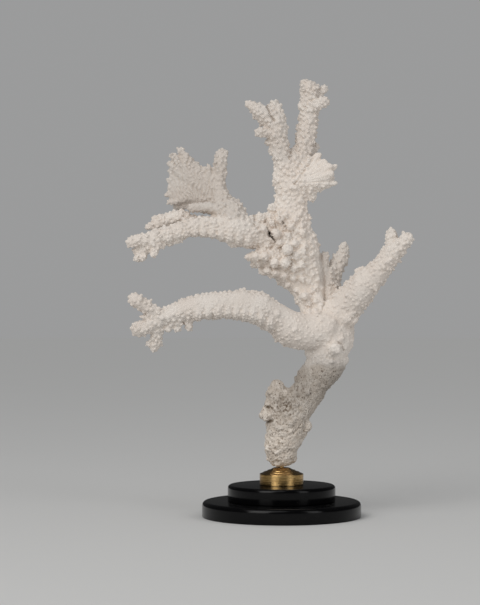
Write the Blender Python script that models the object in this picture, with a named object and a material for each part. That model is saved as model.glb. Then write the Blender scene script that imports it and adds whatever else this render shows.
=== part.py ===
"""An Acropora florida coral skeleton on a turned stand of brass and black lacquered wood.

Metres, +Z up. The origin is the middle of the stand's underside and the front faces -Y.
The coral is one growth, split at its main forks into solids that lie 0.3 mm apart.

Branches are rows of stations (x, y, z, radius) in millimetres. x, z and radius are sizes seen
from the front, from an eye 1.8 m away and measured in the plane of the stand's axis; y is how
far behind that plane (or, negative, in front of it) the station lies. at_depth() moves each
station out along the line of sight to its own depth.
"""

import math
import random

import bmesh
import bpy
from mathutils import Matrix, Vector

MM = 0.001
GAP = 0.3 * MM

# The eye from which the stations were measured, in millimetres
EYE_X = -39.8
EYE_Z = 205.0
EYE_DISTANCE = 1800.0

# Stand
LOWER_DISC_RADIUS = 76.2 * MM
LOWER_DISC_HEIGHT = 15.0 * MM
LOWER_DISC_ROUNDING = 4.0 * MM
UPPER_DISC_RADIUS = 51.6 * MM
UPPER_DISC_TOP = 30.5 * MM
UPPER_DISC_ROUNDING = 3.0 * MM
FOOT_BEVEL = 0.6 * MM
FERRULE_RADIUS = 21.0 * MM
FERRULE_WALL_TOP = 41.6 * MM
FERRULE_TOP_RADIUS = 11.4 * MM
FERRULE_TOP = 47.0 * MM
FERRULE_STEPS = 3
RING_CHAMFER = 0.8 * MM
# Each turned ring falls slightly inwards: shares of the ring's width and of its rise
RING_TREAD = 0.75
RING_FALL = 0.35
PIN_RADIUS = 2.5 * MM
PIN_BOTTOM = 36.0 * MM
PIN_TOP = 73.0 * MM
PIN_CHAMFER = 0.6 * MM
DISC_SEGMENTS = 56
FERRULE_SEGMENTS = 40
PIN_SEGMENTS = 16
EDGE_STEPS = 3
SMOOTH_TURNING = math.radians(35)

# Coral body
CORAL_FOOT = FERRULE_TOP + GAP
SEAT_REACH = 60 * MM
TUBE_SIDES = 14
STEPS_PER_STATION = 3
# A round end: rings as shares of the radius, wide and out
ROUND_END = ((0.86, 0.5), (0.5, 0.86))
# A branch's depth as a share of its width
DEPTH_SHARE = 0.92
VOXEL = 2.1 * MM
SOFTENING = 0.5
SOFTENING_STEPS = 2
CORAL_TRIANGLES = 5750
SEED = 11

TRUNK = (
    (0, 0, 43, 9),
    (0.8, 0, 51.5, 11.5),
    (-0.2, 0, 56, 14.3),
    (-0.5, 0, 62, 15.8),
    (0.5, 0, 68, 16.5),
    (3, 0, 76, 18.2),
    (4.5, 0, 86, 19.2),
    (8, 1, 96, 18.7),
    (14, 2, 105, 17.5),
    (20.5, 3, 113, 16.5),
    (27, 4, 121, 16.5),
    (31, 5, 130, 17.3),
    (35.5, 5, 139, 19.8),
    (41.8, 5, 147, 19.9),
    (43.2, 5, 156, 19.7),
    (45.3, 4, 166, 23),
    (47, 3, 178, 23.4),
    (48, 3, 188, 20),
)
STUMP = ((2, 1, 88, 12), (-2, 1, 98, 13), (-5, 0, 108, 11), (-5, 0, 118, 10), (-5.5, 0, 124, 7.5))
STUMP_SHELF = ((4, 0, 104, 9), (5.5, 0, 112, 8), (6.5, 0, 118, 5.5))

LOWER_LEFT_ARM = (
    (45, 2, 178, 21),
    (30, -3, 177.5, 19),
    (18, -7, 178, 18),
    (8, -11, 181.5, 18.7),
    (-3, -15, 188, 16.8),
    (-12, -19, 194, 17),
    (-22, -22, 199.5, 17),
    (-32, -24, 201.5, 15.5),
    (-42, -26, 203, 14.8),
    (-52, -28, 203, 13.5),
    (-62, -30, 202.5, 13.5),
    (-72, -31, 202, 13),
    (-82, -33, 200, 12.7),
    (-92, -34, 197, 12),
    (-101, -36, 194.5, 10.6),
    (-109, -37, 192.5, 9.6),
    (-116, -38, 190, 8.8),
    (-121, -39, 188, 8),
)
LOWER_LEFT_TIPS = (
    ((-115, -38, 191, 8.5), (-123, -41, 197, 7.2), (-132, -44, 203.5, 6.6), (-140, -46, 208.5, 7.4)),
    ((-117, -39, 188, 8), (-127, -38, 183, 8.2), (-137, -36, 179.5, 8)),
    ((-118, -38, 187, 7.5), (-120, -34, 177, 6.7), (-120.5, -32, 168, 6.4), (-122.5, -31, 161.5, 4.4)),
)

RIGHT_ARM = (
    (49, 2, 180, 22),
    (56, 1, 196, 18.8),
    (65.5, -2, 207, 17),
    (75.5, -5, 218, 14.6),
    (84.7, -8, 228, 13),
    (92.7, -10, 236, 11.7),
    (99.3, -12, 243.5, 10.7),
    (105, -13, 251, 10.3),
)
RIGHT_TIPS = (
    ((104, -13, 250, 9.6), (105.5, -11, 260, 7.2), (105.5, -10, 270, 6)),
    ((105, -13, 251, 9.6), (113, -16, 258.5, 8.2), (119, -18, 264.5, 7.2)),
)
RIGHT_ARM_LOBE = ((55, 12, 205, 9), (59, 14, 216, 6.5), (61, 14, 221, 4.5))

REAR_BRANCH = (
    (47, 18, 202, 12),
    (49, 24, 214, 9.5),
    (50, 28, 225, 8.7),
    (52, 30, 236, 9),
    (55.5, 31, 246, 8.2),
    (58, 31, 253, 6.8),
    (59.5, 31, 259.5, 4.2),
)
REAR_DEPTH_SHARE = 0.7

CROWN = (
    (33, 8, 180, 13),
    (31, 11, 192, 12),
    (30.5, 13, 200, 11),
    (27.8, 15, 210, 14.2),
    (24, 17, 220, 18.8),
    (18.5, 18, 230, 25),
    (13.5, 18, 240, 27.5),
    (12, 18, 250, 27),
    (12, 17, 260, 24.5),
    (10.5, 16, 270, 21.5),
    (9, 15, 280, 20),
    (8, 15, 290, 18.5),
    (9, 15, 300, 16.5),
    (10, 15, 310, 16.5),
    (10, 15, 320, 16.5),
    (9, 15, 330, 16),
    (8.5, 15, 338, 14),
)
CROWN_DEPTH_SHARE = 0.62
CROWN_SPIKES = (
    ((2, 10, 246, 13), (-14, 4, 248, 10), (-25, 0, 249.5, 6.5), (-33, -2, 250, 2.8)),
    ((4, 12, 232, 10), (-8, 8, 234.5, 6.5), (-18, 6, 236, 3.6)),
    ((-14, 6, 244, 5), (-26, 5, 240.5, 2.7)),
    ((0, 14, 282, 12), (-10, 12, 283, 9.5), (-18, 11, 284, 7.3)),
    ((2, 14, 286, 10), (-5, 14, 292, 7), (-8, 14, 296, 5)),
)
CROWN_REAR_LOBE = ((32, 26, 222, 9), (37, 28, 236, 7.5), (40.5, 29, 248, 5))

CROWN_LEFT_BRANCH = (
    (8, 15, 328, 13),
    (3, 13, 338, 11),
    (0, 11, 346, 10),
    (-2, 10, 355, 10.2),
    (-3.5, 9, 363, 10),
    (-4.5, 8, 371, 10.3),
    (-5.5, 8, 378, 10.5),
)
CROWN_LEFT_TIPS = (
    ((-6, 8, 374, 10), (-13, 7, 382, 9.5), (-20.5, 5, 387.5, 8.2), (-27, 4, 392, 6), (-32, 3, 395.5, 4.4)),
    ((-3.5, 8, 376, 9.5), (-4, 10, 384, 8.3), (-6.5, 11, 391.5, 7)),
    ((-4, 8, 366, 8), (-13, 4, 367.5, 5.5), (-20.5, 2, 367.5, 5.2)),
)

CROWN_RIGHT_BRANCH = (
    (12, 16, 326, 13),
    (16, 18, 336, 11.5),
    (19, 19, 346, 9.9),
    (21.5, 20, 356, 9.7),
    (23.5, 21, 366, 9.7),
    (25, 22, 376, 9.6),
    (26, 22, 386, 9.5),
    (26, 22, 396, 9.5),
    (26, 21, 405, 9.3),
    (26, 20, 410.5, 8.7),
)
CROWN_RIGHT_TIPS = (
    ((28, 20, 392, 8), (35, 15, 395, 6), (40.5, 13, 397, 5)),
    ((29, 23, 398, 7), (36, 25, 404, 4.5), (40.3, 26, 409, 3.9)),
    ((23, 24, 342, 8), (29, 28, 350, 5), (32, 29, 354, 4)),
)

STUB_ROOT = (12, 15, 318, 14)
STUB_MIDDLE = (29, 15, 324, 13.5)
STUB_ENDS = (
    (35.5, 12, 345.5, 3.6),
    (41, 9, 340, 3.8),
    (45.5, 6, 334.5, 4.2),
    (49.8, 9, 335.3, 3.4),
    (46.5, 4, 328, 4.4),
    (46.5, 14, 324, 4.4),
    (49, 9, 320, 3.4),
    (43, 6, 319, 3.8),
    (44.5, 25, 330, 4),
    (42, 22, 321, 4),
    (37, 25, 338, 4),
)

UPPER_LEFT_BRANCH = (
    (6, 14, 262, 12),
    (-7, 11, 265, 13),
    (-18, 7, 268, 13.5),
    (-30, 3, 271, 14.8),
    (-41, 0, 274.5, 16.3),
    (-51, -2, 275.5, 15.5),
    (-62, -4, 277, 11.5),
    (-75, -6, 277.5, 10.2),
    (-88, -9, 277, 9.2),
    (-99, -11, 274, 8.5),
    (-110, -13, 270.5, 8.5),
    (-120, -14, 268, 8),
    (-130, -15, 265.3, 6.8),
    (-139, -16, 263.3, 5.7),
    (-145, -17, 262, 4.6),
)
UPPER_LEFT_REAR_STRAND = (
    (-54, 4, 283, 11),
    (-70, 6, 281, 8),
    (-86, 7, 283, 7),
    (-99, 7, 284.3, 7.8),
    (-110, 6, 283, 7.4),
    (-119, 5, 280, 6),
    (-126, 5, 277.3, 4),
)
UPPER_LEFT_SPURS = (
    ((-122, -14, 265, 7), (-129, -11, 256, 6.2), (-133.5, -10, 249.5, 4.6)),
    ((-119, -14, 263, 6), (-122.5, -16, 253, 4)),
    ((-96, -11, 272, 5), (-97.5, -11, 267.5, 4.2)),
    ((-105, -12, 268, 4.2), (-106, -12, 263, 3.2)),
    ((-112, -13, 266, 4.2), (-113.5, -13, 260.3, 3.4)),
    ((-112, 7, 286, 5), (-120.5, 8, 286, 3)),
    ((-72, -8, 273, 5), (-76, -9, 271, 4)),
    ((-84, -9, 273, 5), (-86, -9, 271, 3.8)),
)

FAN_SHOULDER = (
    (-44, 0, 278, 14),
    (-48, 6, 288, 15),
    (-54, 12, 297, 13),
    (-57, 15, 306, 10),
)
FAN_FINGER = (
    (-56, 14, 302, 11),
    (-57.3, 16, 313, 8.3),
    (-58.2, 17, 325, 7.4),
    (-59, 17, 337, 7.2),
    (-58.3, 17, 346, 6.6),
)
FAN_SPURS = (
    ((-62, 16, 318, 7), (-68, 16, 326, 4.5), (-69.5, 16, 333, 3.6)),
    ((-58, 17, 340, 5.5), (-54.3, 15, 348, 4)),
    ((-42, 3, 286, 10), (-45, 6, 297, 7.5), (-45.5, 7, 301.5, 4.8)),
    ((-38, 2, 284, 8), (-39.5, 3, 293, 4.6)),
    ((-30, 3, 278, 8), (-31, 4, 286.5, 4.4)),
    ((-58, 4, 294, 7), (-72, 2, 295.5, 5.8), (-86, 0, 295.5, 5.2)),
    ((-76, 22, 299.5, 6.5), (-90, 25, 298.5, 5), (-99.5, 26, 297.2, 3.6)),
)
FAN_ROOT = (-62, 18, 304, 8.5)
FAN_ENDS = (
    (-77, 18, 331, 4.2),
    (-84, 18, 338, 4),
    (-89, 17, 342.3, 3.8),
    (-97.4, 16, 350.8, 3.6),
    (-104, 16, 344.3, 4.2),
    (-107, 17, 338.8, 3.2),
    (-105.5, 20, 331, 4),
    (-105.5, 20, 322, 4),
    (-105, 20, 314, 4),
    (-109, 20, 308, 3),
    (-107, 20, 301.8, 3.2),
    (-98, 20, 306, 5),
)
FAN_WEB = (
    (-62, 296), (-90, 302), (-106, 308), (-107, 340), (-98, 346), (-88, 341), (-76, 331), (-62, 312),
)
FAN_WEB_DEPTH = (17.5, 21.5)

TRUNK_KNOBS = (
    ((-6, 0, 97, 9), (-16, -2, 98.5, 4.2)),
    ((-6, 0, 108, 8), (-12.5, -1, 109.5, 4.5)),
    ((14, 0, 82, 10), (24.5, 0, 86.5, 4.5)),
    ((30, 4, 138, 15), (21, 4, 140, 7)),
    ((46, -9, 158, 8), (51, -18, 160, 6)),
    ((52, 4, 150, 13), (60, 4, 151, 5)),
    ((56, 4, 172, 14), (63, 4, 168, 8)),
    ((-2, 0, 120, 6), (-4.5, 0, 128.5, 3)),
)
ARM_BRANCHLETS = (
    ((-108, -37, 188, 4.4), (-108.5, -37, 179.5, 3.2)),
    ((-100, -35, 189, 5.2), (-100, -35, 181, 4.4)),
    ((-90, -34, 190, 5), (-89.3, -34, 181.5, 4)),
    ((-79, -32, 194, 4.5), (-79, -32, 190.5, 3.6)),
    ((-65, -30, 194, 4.5), (-65, -30, 191, 3.6)),
    ((-13, -19, 188, 8), (-17.5, -20, 182.5, 4.8)),
    ((-4, -17, 182, 10), (0, -14, 172.8, 8.2)),
    ((-22, -22, 210, 5), (-22, -22, 213.5, 3.6)),
    ((-38, -25, 212, 5), (-38, -25, 214.8, 3.6)),
    ((-67, -30, 210, 4.5), (-67, -30, 212.6, 3.4)),
    ((-124, -40, 190, 5), (-134.5, -42, 191.3, 2.4)),
    ((-133, -37, 184, 5), (-139.5, -39, 184.5, 3.2)),
    ((-132, -37, 180, 5), (-133, -35, 174.5, 3.6)),
    ((-121, -32, 169, 4), (-127.8, -32, 165.8, 2.4)),
    ((-119, -31, 168, 4.2), (-116.3, -31, 164, 3.2)),
)
RIGHT_ARM_BRANCHLETS = (
    ((74, -4, 231, 6), (73, -4, 236, 3.5)),
    ((79, -5, 233, 6), (78.5, -5, 237, 3.5)),
    ((106, -13, 246, 6), (111.5, -13, 246, 4)),
    ((112, -15, 256, 6), (116.5, -15, 253, 3.8)),
    ((97, -11, 238, 8), (103.5, -11, 239, 3.8)),
    ((64, 0, 190, 12), (67, 0, 188, 7)),
)
CROWN_LUMPS = (
    ((6, 8, 256, 8), (6, -1, 256, 5)),
    ((5, 8, 247, 8), (5, -2, 247, 4.6)),
    ((0, 8, 242, 7), (0, -1, 242.5, 4.4)),
    ((-7, 8, 245, 7), (-8, 0, 245.5, 4.2)),
    ((23, 8, 210, 8), (22, 0, 210, 5.2)),
    ((-4, 8, 270, 8), (-5, 1, 270, 4.8)),
    ((8, 8, 264, 8), (5, 1, 262, 4.6)),
)
TOP_KNOBS = (
    ((-6, 10, 350, 6), (-11.5, 9, 350, 2.8)),
    ((-8, 9, 359, 6), (-14.5, 8, 358.5, 3)),
    ((20, 20, 393, 6), (17.3, 19, 393, 2.6)),
    ((21, 20, 403, 6), (18.5, 19, 404, 2.8)),
    ((24, 20, 410, 8), (22, 20, 413.5, 6)),
    ((28, 20, 408, 7), (32, 20, 411.5, 3.5)),
)

# Small tubes that carry no lumps of their own
PLAIN_GROUPS = (
    CROWN_SPIKES,
    CROWN_RIGHT_TIPS,
    UPPER_LEFT_SPURS,
    FAN_SPURS,
    TRUNK_KNOBS,
    ARM_BRANCHLETS,
    RIGHT_ARM_BRANCHLETS,
    CROWN_LUMPS,
    TOP_KNOBS,
)

# Popcorn lumps that cover the branches: distance apart, radius, how far they stand out of the
# branch, and out of the eroded trunk, and how much they lean towards the tip
LUMP_SPACING = 8.5 * MM
LUMP_RADIUS = 4.2 * MM
LUMP_RELIEF = 2.1 * MM
WORN_RELIEF = 1.0 * MM
LUMP_LEAN = 0.35
LUMP_STRETCH = 1.25
LUMP_SIZES = (0.75, 1.15)
LUMP_STANDS = (0.5, 1.2)
LUMP_SHIFT = 0.4
LUMP_TURN = 0.3
TIP_LUMPS = 5
TIP_SIZES = (0.6, 0.9)
TIP_SPREAD = (0.8, 1.3)

# Fork outlines (x, z) and depths, in millimetres. Each branch is sawn off in this order: what
# lies in its outline, and isn't part of a branch before it, is a node of its own. The first
# points of each outline are its saw line; the others run through free space or through
# branches that are already off.
THROUGH = (-90, 90)
FORKS = (
    (
        "coral_crown_left_branch",
        ((-22, 342), (10.2, 339.5), (10.2, 430), (-45, 430), (-45, 342)),
        THROUGH,
    ),
    (
        "coral_crown_right_branch",
        ((10.3, 339.3), (26, 339.3), (33.4, 350.5), (60, 362), (60, 440), (7, 440), (7, 350)),
        THROUGH,
    ),
    (
        "coral_broken_stub",
        ((27, 290), (27, 345), (30, 372), (75, 372), (75, 290)),
        THROUGH,
    ),
    (
        "coral_upper_left_fan",
        ((-91, 291.5), (-68, 289.5), (-52, 287), (-26.5, 281), (-26.5, 330), (-40, 370), (-130, 370),
         (-130, 296)),
        THROUGH,
    ),
    (
        "coral_upper_left_branch",
        ((-27, 252), (-17, 262), (-25.5, 281.5), (-30, 300), (-130, 310), (-170, 296), (-170, 230),
         (-60, 240)),
        THROUGH,
    ),
    ("coral_rear_branch", ((45.5, 219), (57, 219), (66, 234), (80, 290), (46, 290)), (12, 90)),
    (
        "coral_crown",
        ((9, 202), (42.5, 202), (43.8, 216), (49, 224), (60, 290), (60, 345), (-30, 345), (-60, 300),
         (-60, 229), (-14, 217.5), (-2, 209)),
        THROUGH,
    ),
    (
        "coral_right_arm",
        ((44.6, 208.5), (74, 186), (150, 240), (150, 300), (90, 300), (52, 240), (38, 225)),
        THROUGH,
    ),
    (
        "coral_lower_left_arm",
        ((12, 150), (8, 205), (-2, 209.5), (-14, 218), (-60, 232), (-170, 235), (-170, 145)),
        THROUGH,
    ),
)


def clear_scene():
    for item in list(bpy.data.objects):
        bpy.data.objects.remove(item, do_unlink=True)


def material(name, colour, roughness, metallic=0.0):
    made = bpy.data.materials.new(name)
    made.use_nodes = True
    shader = made.node_tree.nodes["Principled BSDF"]
    shader.inputs["Base Color"].default_value = (*colour, 1.0)
    shader.inputs["Roughness"].default_value = roughness
    shader.inputs["Metallic"].default_value = metallic
    made.diffuse_color = (*colour, 1.0)
    return made


def add_object(name, mesh, finish=None):
    made = bpy.data.objects.new(name, mesh)
    bpy.context.scene.collection.objects.link(made)
    if finish:
        mesh.materials.clear()
        mesh.materials.append(finish)
    return made


def mesh_from(bm, name):
    bmesh.ops.recalc_face_normals(bm, faces=bm.faces)
    mesh = bpy.data.meshes.new(name)
    bm.to_mesh(mesh)
    bm.free()
    return mesh


def evaluated_mesh(item):
    """The object's mesh with its modifiers applied; the object itself is removed."""
    graph = bpy.context.evaluated_depsgraph_get()
    mesh = bpy.data.meshes.new_from_object(item.evaluated_get(graph))
    bpy.data.objects.remove(item, do_unlink=True)
    return mesh


def turned_mesh(name, profile, segments):
    """A solid of revolution about Z. The profile runs (radius, height) from axis to axis."""
    bm = bmesh.new()
    angles = [math.tau * i / segments for i in range(segments)]
    rows = []
    for radius, height in profile:
        row = angles if radius else angles[:1]
        rows.append([bm.verts.new((radius * math.cos(a), radius * math.sin(a), height)) for a in row])
    for low, high in zip(rows, rows[1:]):
        skin(bm, low, high)
    return mesh_from(bm, name)


def turned(name, profile, segments, finish):
    """A turned piece of the stand."""
    made = add_object(name, turned_mesh(name, profile, segments), finish)
    made.data.shade_smooth()
    made.data.set_sharp_from_angle(angle=SMOOTH_TURNING)
    return made


def skin(bm, low, high):
    """Faces between two rings of vertices; a ring of one vertex is a pole."""
    count = max(len(low), len(high))
    for i in range(count):
        j = (i + 1) % count
        corners = [low[i % len(low)], low[j % len(low)], high[j % len(high)], high[i % len(high)]]
        bm.faces.new(list(dict.fromkeys(corners)))


def rounded_edge(radius, top, rounding):
    """Profile points of a rounded top edge, from the side up to the top face."""
    points = []
    for i in range(EDGE_STEPS + 1):
        angle = math.pi / 2 * i / EDGE_STEPS
        out = radius - rounding + rounding * math.cos(angle)
        points.append((out, top - rounding + rounding * math.sin(angle)))
    return points


def disc_profile(radius, bottom, top, rounding):
    lower = [(0, bottom), (radius - FOOT_BEVEL, bottom), (radius, bottom + FOOT_BEVEL)]
    return lower + rounded_edge(radius, top, rounding) + [(0, top)]


def ferrule_profile():
    """A short cylinder, then shallow turned rings that step in towards the coral's foot."""
    bottom = UPPER_DISC_TOP + GAP
    points = [(0, bottom), (FERRULE_RADIUS, bottom), (FERRULE_RADIUS, FERRULE_WALL_TOP - RING_CHAMFER)]
    ring = (FERRULE_RADIUS - FERRULE_TOP_RADIUS) / FERRULE_STEPS
    rise = (FERRULE_TOP - FERRULE_WALL_TOP) / FERRULE_STEPS
    for i in range(FERRULE_STEPS):
        outer = FERRULE_RADIUS - RING_CHAMFER - i * ring
        level = FERRULE_WALL_TOP + i * rise
        points += [(outer, level), (outer - RING_TREAD * ring, level + RING_FALL * rise)]
    bore = PIN_RADIUS + GAP
    floor = PIN_BOTTOM - GAP
    points += [(FERRULE_TOP_RADIUS - RING_CHAMFER, FERRULE_TOP), (bore, FERRULE_TOP)]
    return points + [(bore, floor), (0, floor)]


def pin_profile():
    tip = PIN_RADIUS - PIN_CHAMFER
    return [
        (0, PIN_BOTTOM),
        (tip, PIN_BOTTOM),
        (PIN_RADIUS, PIN_BOTTOM + PIN_CHAMFER),
        (PIN_RADIUS, PIN_TOP - PIN_CHAMFER),
        (tip, PIN_TOP),
        (0, PIN_TOP),
    ]


def at_depth(station):
    """A station's real place and radius, in metres, from its sizes seen from the front."""
    x, y, z, radius = station
    scale = (EYE_DISTANCE + y) / EYE_DISTANCE
    place = Vector((EYE_X + (x - EYE_X) * scale, y, EYE_Z + (z - EYE_Z) * scale))
    return place * MM, radius * scale * MM


def between(a, b, c, d, t):
    """Catmull-Rom value between b and c."""
    return 0.5 * (2 * b + (c - a) * t + (2 * a - 5 * b + 4 * c - d) * t * t + (3 * b - a - 3 * c + d) * t**3)


def smooth_path(stations):
    """Places and radii along a smooth curve through the stations."""
    rows = [at_depth(s) for s in stations]
    if len(rows) == 2:
        return rows
    path = []
    for i in range(len(rows) - 1):
        near = [rows[min(max(k, 0), len(rows) - 1)] for k in (i - 1, i, i + 1, i + 2)]
        for step in range(STEPS_PER_STATION):
            t = step / STEPS_PER_STATION
            place = between(*[row[0] for row in near], t)
            path.append((place, between(*[row[1] for row in near], t)))
    return path + [rows[-1]]


def ring_axes(direction):
    """The two axes of a ring across a branch: one seen from the front, one in depth."""
    across = direction.cross(Vector((0, 1, 0)))
    if across.length < 0.2:
        across = Vector((1, 0, 0))
    across.normalize()
    return across, across.cross(direction).normalized()


def directions_along(path):
    places = [row[0] for row in path]
    found = []
    for i in range(len(places)):
        ahead = places[min(i + 1, len(places) - 1)]
        behind = places[max(i - 1, 0)]
        found.append((ahead - behind).normalized())
    return found


def rounded_end(place, radius, direction):
    """The rings of a round end, from its wide side to its tip."""
    return [(place + direction * radius * out, radius * wide) for wide, out in ROUND_END]


def add_tube(bm, path, depth_share=DEPTH_SHARE):
    """A closed round-ended tube along the path, its depth a share of its width."""
    directions = directions_along(path)
    first, last = path[0], path[-1]
    start = rounded_end(*first, -directions[0])[::-1]
    end = rounded_end(*last, directions[-1])
    rings = start + list(path) + end
    along = [directions[0]] * len(start) + directions + [directions[-1]] * len(end)
    rows = [[bm.verts.new(first[0] - directions[0] * first[1])]]
    for (place, radius), direction in zip(rings, along):
        across, deep = ring_axes(direction)
        row = []
        for i in range(TUBE_SIDES):
            angle = math.tau * i / TUBE_SIDES
            offset = across * math.cos(angle) * radius + deep * math.sin(angle) * radius * depth_share
            row.append(bm.verts.new(place + offset))
        rows.append(row)
    rows.append([bm.verts.new(last[0] + directions[-1] * last[1])])
    for low, high in zip(rows, rows[1:]):
        skin(bm, low, high)


def add_lumps(bm, path, rng, depth_share, relief):
    """Popcorn lumps in rows round the branch, leaning towards its tip; they stand out by the relief."""
    directions = directions_along(path)
    travelled = LUMP_SPACING / 2
    for i in range(1, len(path)):
        travelled += (path[i][0] - path[i - 1][0]).length
        if travelled < LUMP_SPACING:
            continue
        travelled -= LUMP_SPACING
        place, radius = path[i]
        across, deep = ring_axes(directions[i])
        count = max(5, round(math.tau * radius / LUMP_SPACING))
        turn = rng.random()
        for k in range(count):
            angle = math.tau * (k + turn + LUMP_TURN * (rng.random() - 0.5)) / count
            side = across * math.cos(angle) + deep * math.sin(angle) * depth_share
            size = LUMP_RADIUS * rng.uniform(*LUMP_SIZES)
            out = side * (radius + relief * rng.uniform(*LUMP_STANDS) - size)
            centre = place + out + directions[i] * LUMP_SPACING * LUMP_SHIFT * (rng.random() - 0.5)
            lean = (side.normalized() + directions[i] * LUMP_LEAN).normalized()
            turned_to = lean.to_track_quat("Z", "Y").to_matrix().to_4x4()
            matrix = Matrix.Translation(centre) @ turned_to @ Matrix.Diagonal((1, 1, LUMP_STRETCH, 1))
            bmesh.ops.create_icosphere(bm, subdivisions=1, radius=size, matrix=matrix)


def add_tip_lumps(bm, path, rng, depth_share, relief):
    """A rosette of lumps on the branch's round end, with one in the middle."""
    (before, _), (tip, radius) = path[-2:]
    ahead = (tip - before).normalized()
    across, deep = ring_axes(ahead)
    outward = [ahead]
    for k in range(TIP_LUMPS):
        angle = math.tau * (k + LUMP_TURN * rng.random()) / TIP_LUMPS
        side = across * math.cos(angle) + deep * math.sin(angle) * depth_share
        outward.append((ahead + side * rng.uniform(*TIP_SPREAD)).normalized())
    for direction in outward:
        size = min(LUMP_RADIUS, radius) * rng.uniform(*TIP_SIZES)
        matrix = Matrix.Translation(tip + direction * (radius + relief - size))
        bmesh.ops.create_icosphere(bm, subdivisions=1, radius=size, matrix=matrix)


def add_branch(bm, rng, stations, depth_share=DEPTH_SHARE, relief=LUMP_RELIEF):
    """A branch with its lumps, which together reach the stations' radii."""
    path = [(place, radius - relief) for place, radius in smooth_path(stations)]
    add_tube(bm, path, depth_share)
    add_lumps(bm, path, rng, depth_share, relief)
    add_tip_lumps(bm, path, rng, depth_share, relief)


def add_ribs(bm, root, ends, depth_share=DEPTH_SHARE):
    """Straight ribs that spread from one root and fuse into a fan."""
    for end in ends:
        add_tube(bm, smooth_path((root, end)), depth_share)


def add_plate(bm, outline, depth):
    """A flat plate with the outline (x, z), between two depths."""
    rows = []
    for y in depth:
        rows.append([bm.verts.new(at_depth((x, y, z, 0))[0]) for x, z in outline])
    skin(bm, *rows)
    bm.faces.new(rows[0])
    bm.faces.new(rows[1])


def grown_coral():
    """The whole coral as one closed mesh."""
    bm = bmesh.new()
    rng = random.Random(SEED)
    for stations in (TRUNK, STUMP, STUMP_SHELF):
        add_branch(bm, rng, stations, relief=WORN_RELIEF)
    for stations in (LOWER_LEFT_ARM, RIGHT_ARM, RIGHT_ARM_LOBE, CROWN_LEFT_BRANCH, CROWN_RIGHT_BRANCH):
        add_branch(bm, rng, stations)
    for stations in (UPPER_LEFT_BRANCH, UPPER_LEFT_REAR_STRAND, FAN_SHOULDER, FAN_FINGER):
        add_branch(bm, rng, stations)
    for stations in (REAR_BRANCH, CROWN_REAR_LOBE):
        add_branch(bm, rng, stations, REAR_DEPTH_SHARE)
    add_branch(bm, rng, CROWN, CROWN_DEPTH_SHARE)
    for group in (LOWER_LEFT_TIPS, RIGHT_TIPS, CROWN_LEFT_TIPS):
        for stations in group:
            add_branch(bm, rng, stations)
    for group in PLAIN_GROUPS:
        for stations in group:
            add_tube(bm, smooth_path(stations))
    add_tube(bm, smooth_path((STUB_ROOT, STUB_MIDDLE)))
    add_ribs(bm, STUB_ROOT, STUB_ENDS)
    add_ribs(bm, FAN_ROOT, FAN_ENDS, REAR_DEPTH_SHARE)
    add_plate(bm, FAN_WEB, FAN_WEB_DEPTH)
    return fused(mesh_from(bm, "coral"))


def fused(mesh):
    """The joined tubes and lumps as one skin with few triangles."""
    coral = add_object("coral", mesh)
    fuse = coral.modifiers.new("fuse", "REMESH")
    fuse.mode = "VOXEL"
    fuse.voxel_size = VOXEL
    soften = coral.modifiers.new("soften", "SMOOTH")
    soften.factor = SOFTENING
    soften.iterations = SOFTENING_STEPS
    mesh = evaluated_mesh(coral)
    coral = add_object("coral", mesh)
    triangles = sum(len(face.vertices) - 2 for face in mesh.polygons)
    thin = coral.modifiers.new("thin", "DECIMATE")
    thin.ratio = CORAL_TRIANGLES / triangles
    return evaluated_mesh(coral)


def moved_out(outline, distance):
    """The outline with every side moved outwards by a distance. It runs anticlockwise or not."""
    area = sum(a[0] * b[1] - b[0] * a[1] for a, b in zip(outline, outline[1:] + outline[:1]))
    turn = 1 if area > 0 else -1
    moved = []
    for i, (x, z) in enumerate(outline):
        before = outline[i - 1]
        after = outline[(i + 1) % len(outline)]
        near = Vector((x - before[0], z - before[1])).normalized()
        far = Vector((after[0] - x, after[1] - z)).normalized()
        side = Vector((near.y, -near.x)) + Vector((far.y, -far.x))
        reach = distance * turn * 2 / side.dot(side)
        moved.append((x + side.x * reach, z + side.y * reach))
    return tuple(moved)


def block(name, outline, depth):
    """A straight prism through the coral, with an outline (x, z) in millimetres."""
    bm = bmesh.new()
    rows = [[bm.verts.new(Vector((x, y, z)) * MM) for x, z in outline] for y in depth]
    skin(bm, *rows)
    bm.faces.new(rows[0])
    bm.faces.new(rows[1])
    made = add_object(name, mesh_from(bm, name))
    made.hide_render = True
    made.display_type = "WIRE"
    return made


def cut(mesh, cutter, operation):
    """The mesh after a Boolean with the cutter; the mesh itself stays as it was."""
    target = add_object("target", mesh.copy())
    step = target.modifiers.new("cut", "BOOLEAN")
    step.operation = operation
    step.object = cutter
    step.solver = "EXACT"
    return evaluated_mesh(target)


def largest_part(mesh):
    """Drops crumbs that a cut left loose from the branch."""
    bm = bmesh.new()
    bm.from_mesh(mesh)
    left = set(bm.verts)
    parts = []
    while left:
        reached = [left.pop()]
        part = set(reached)
        while reached:
            for edge in reached.pop().link_edges:
                for vert in edge.verts:
                    if vert in left:
                        left.discard(vert)
                        part.add(vert)
                        reached.append(vert)
        parts.append(part)
    parts.sort(key=len)
    crumbs = [vert for part in parts[:-1] for vert in part]
    bmesh.ops.delete(bm, geom=crumbs, context="VERTS")
    bmesh.ops.triangulate(bm, faces=bm.faces)
    bm.to_mesh(mesh)
    bm.free()
    return mesh


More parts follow.
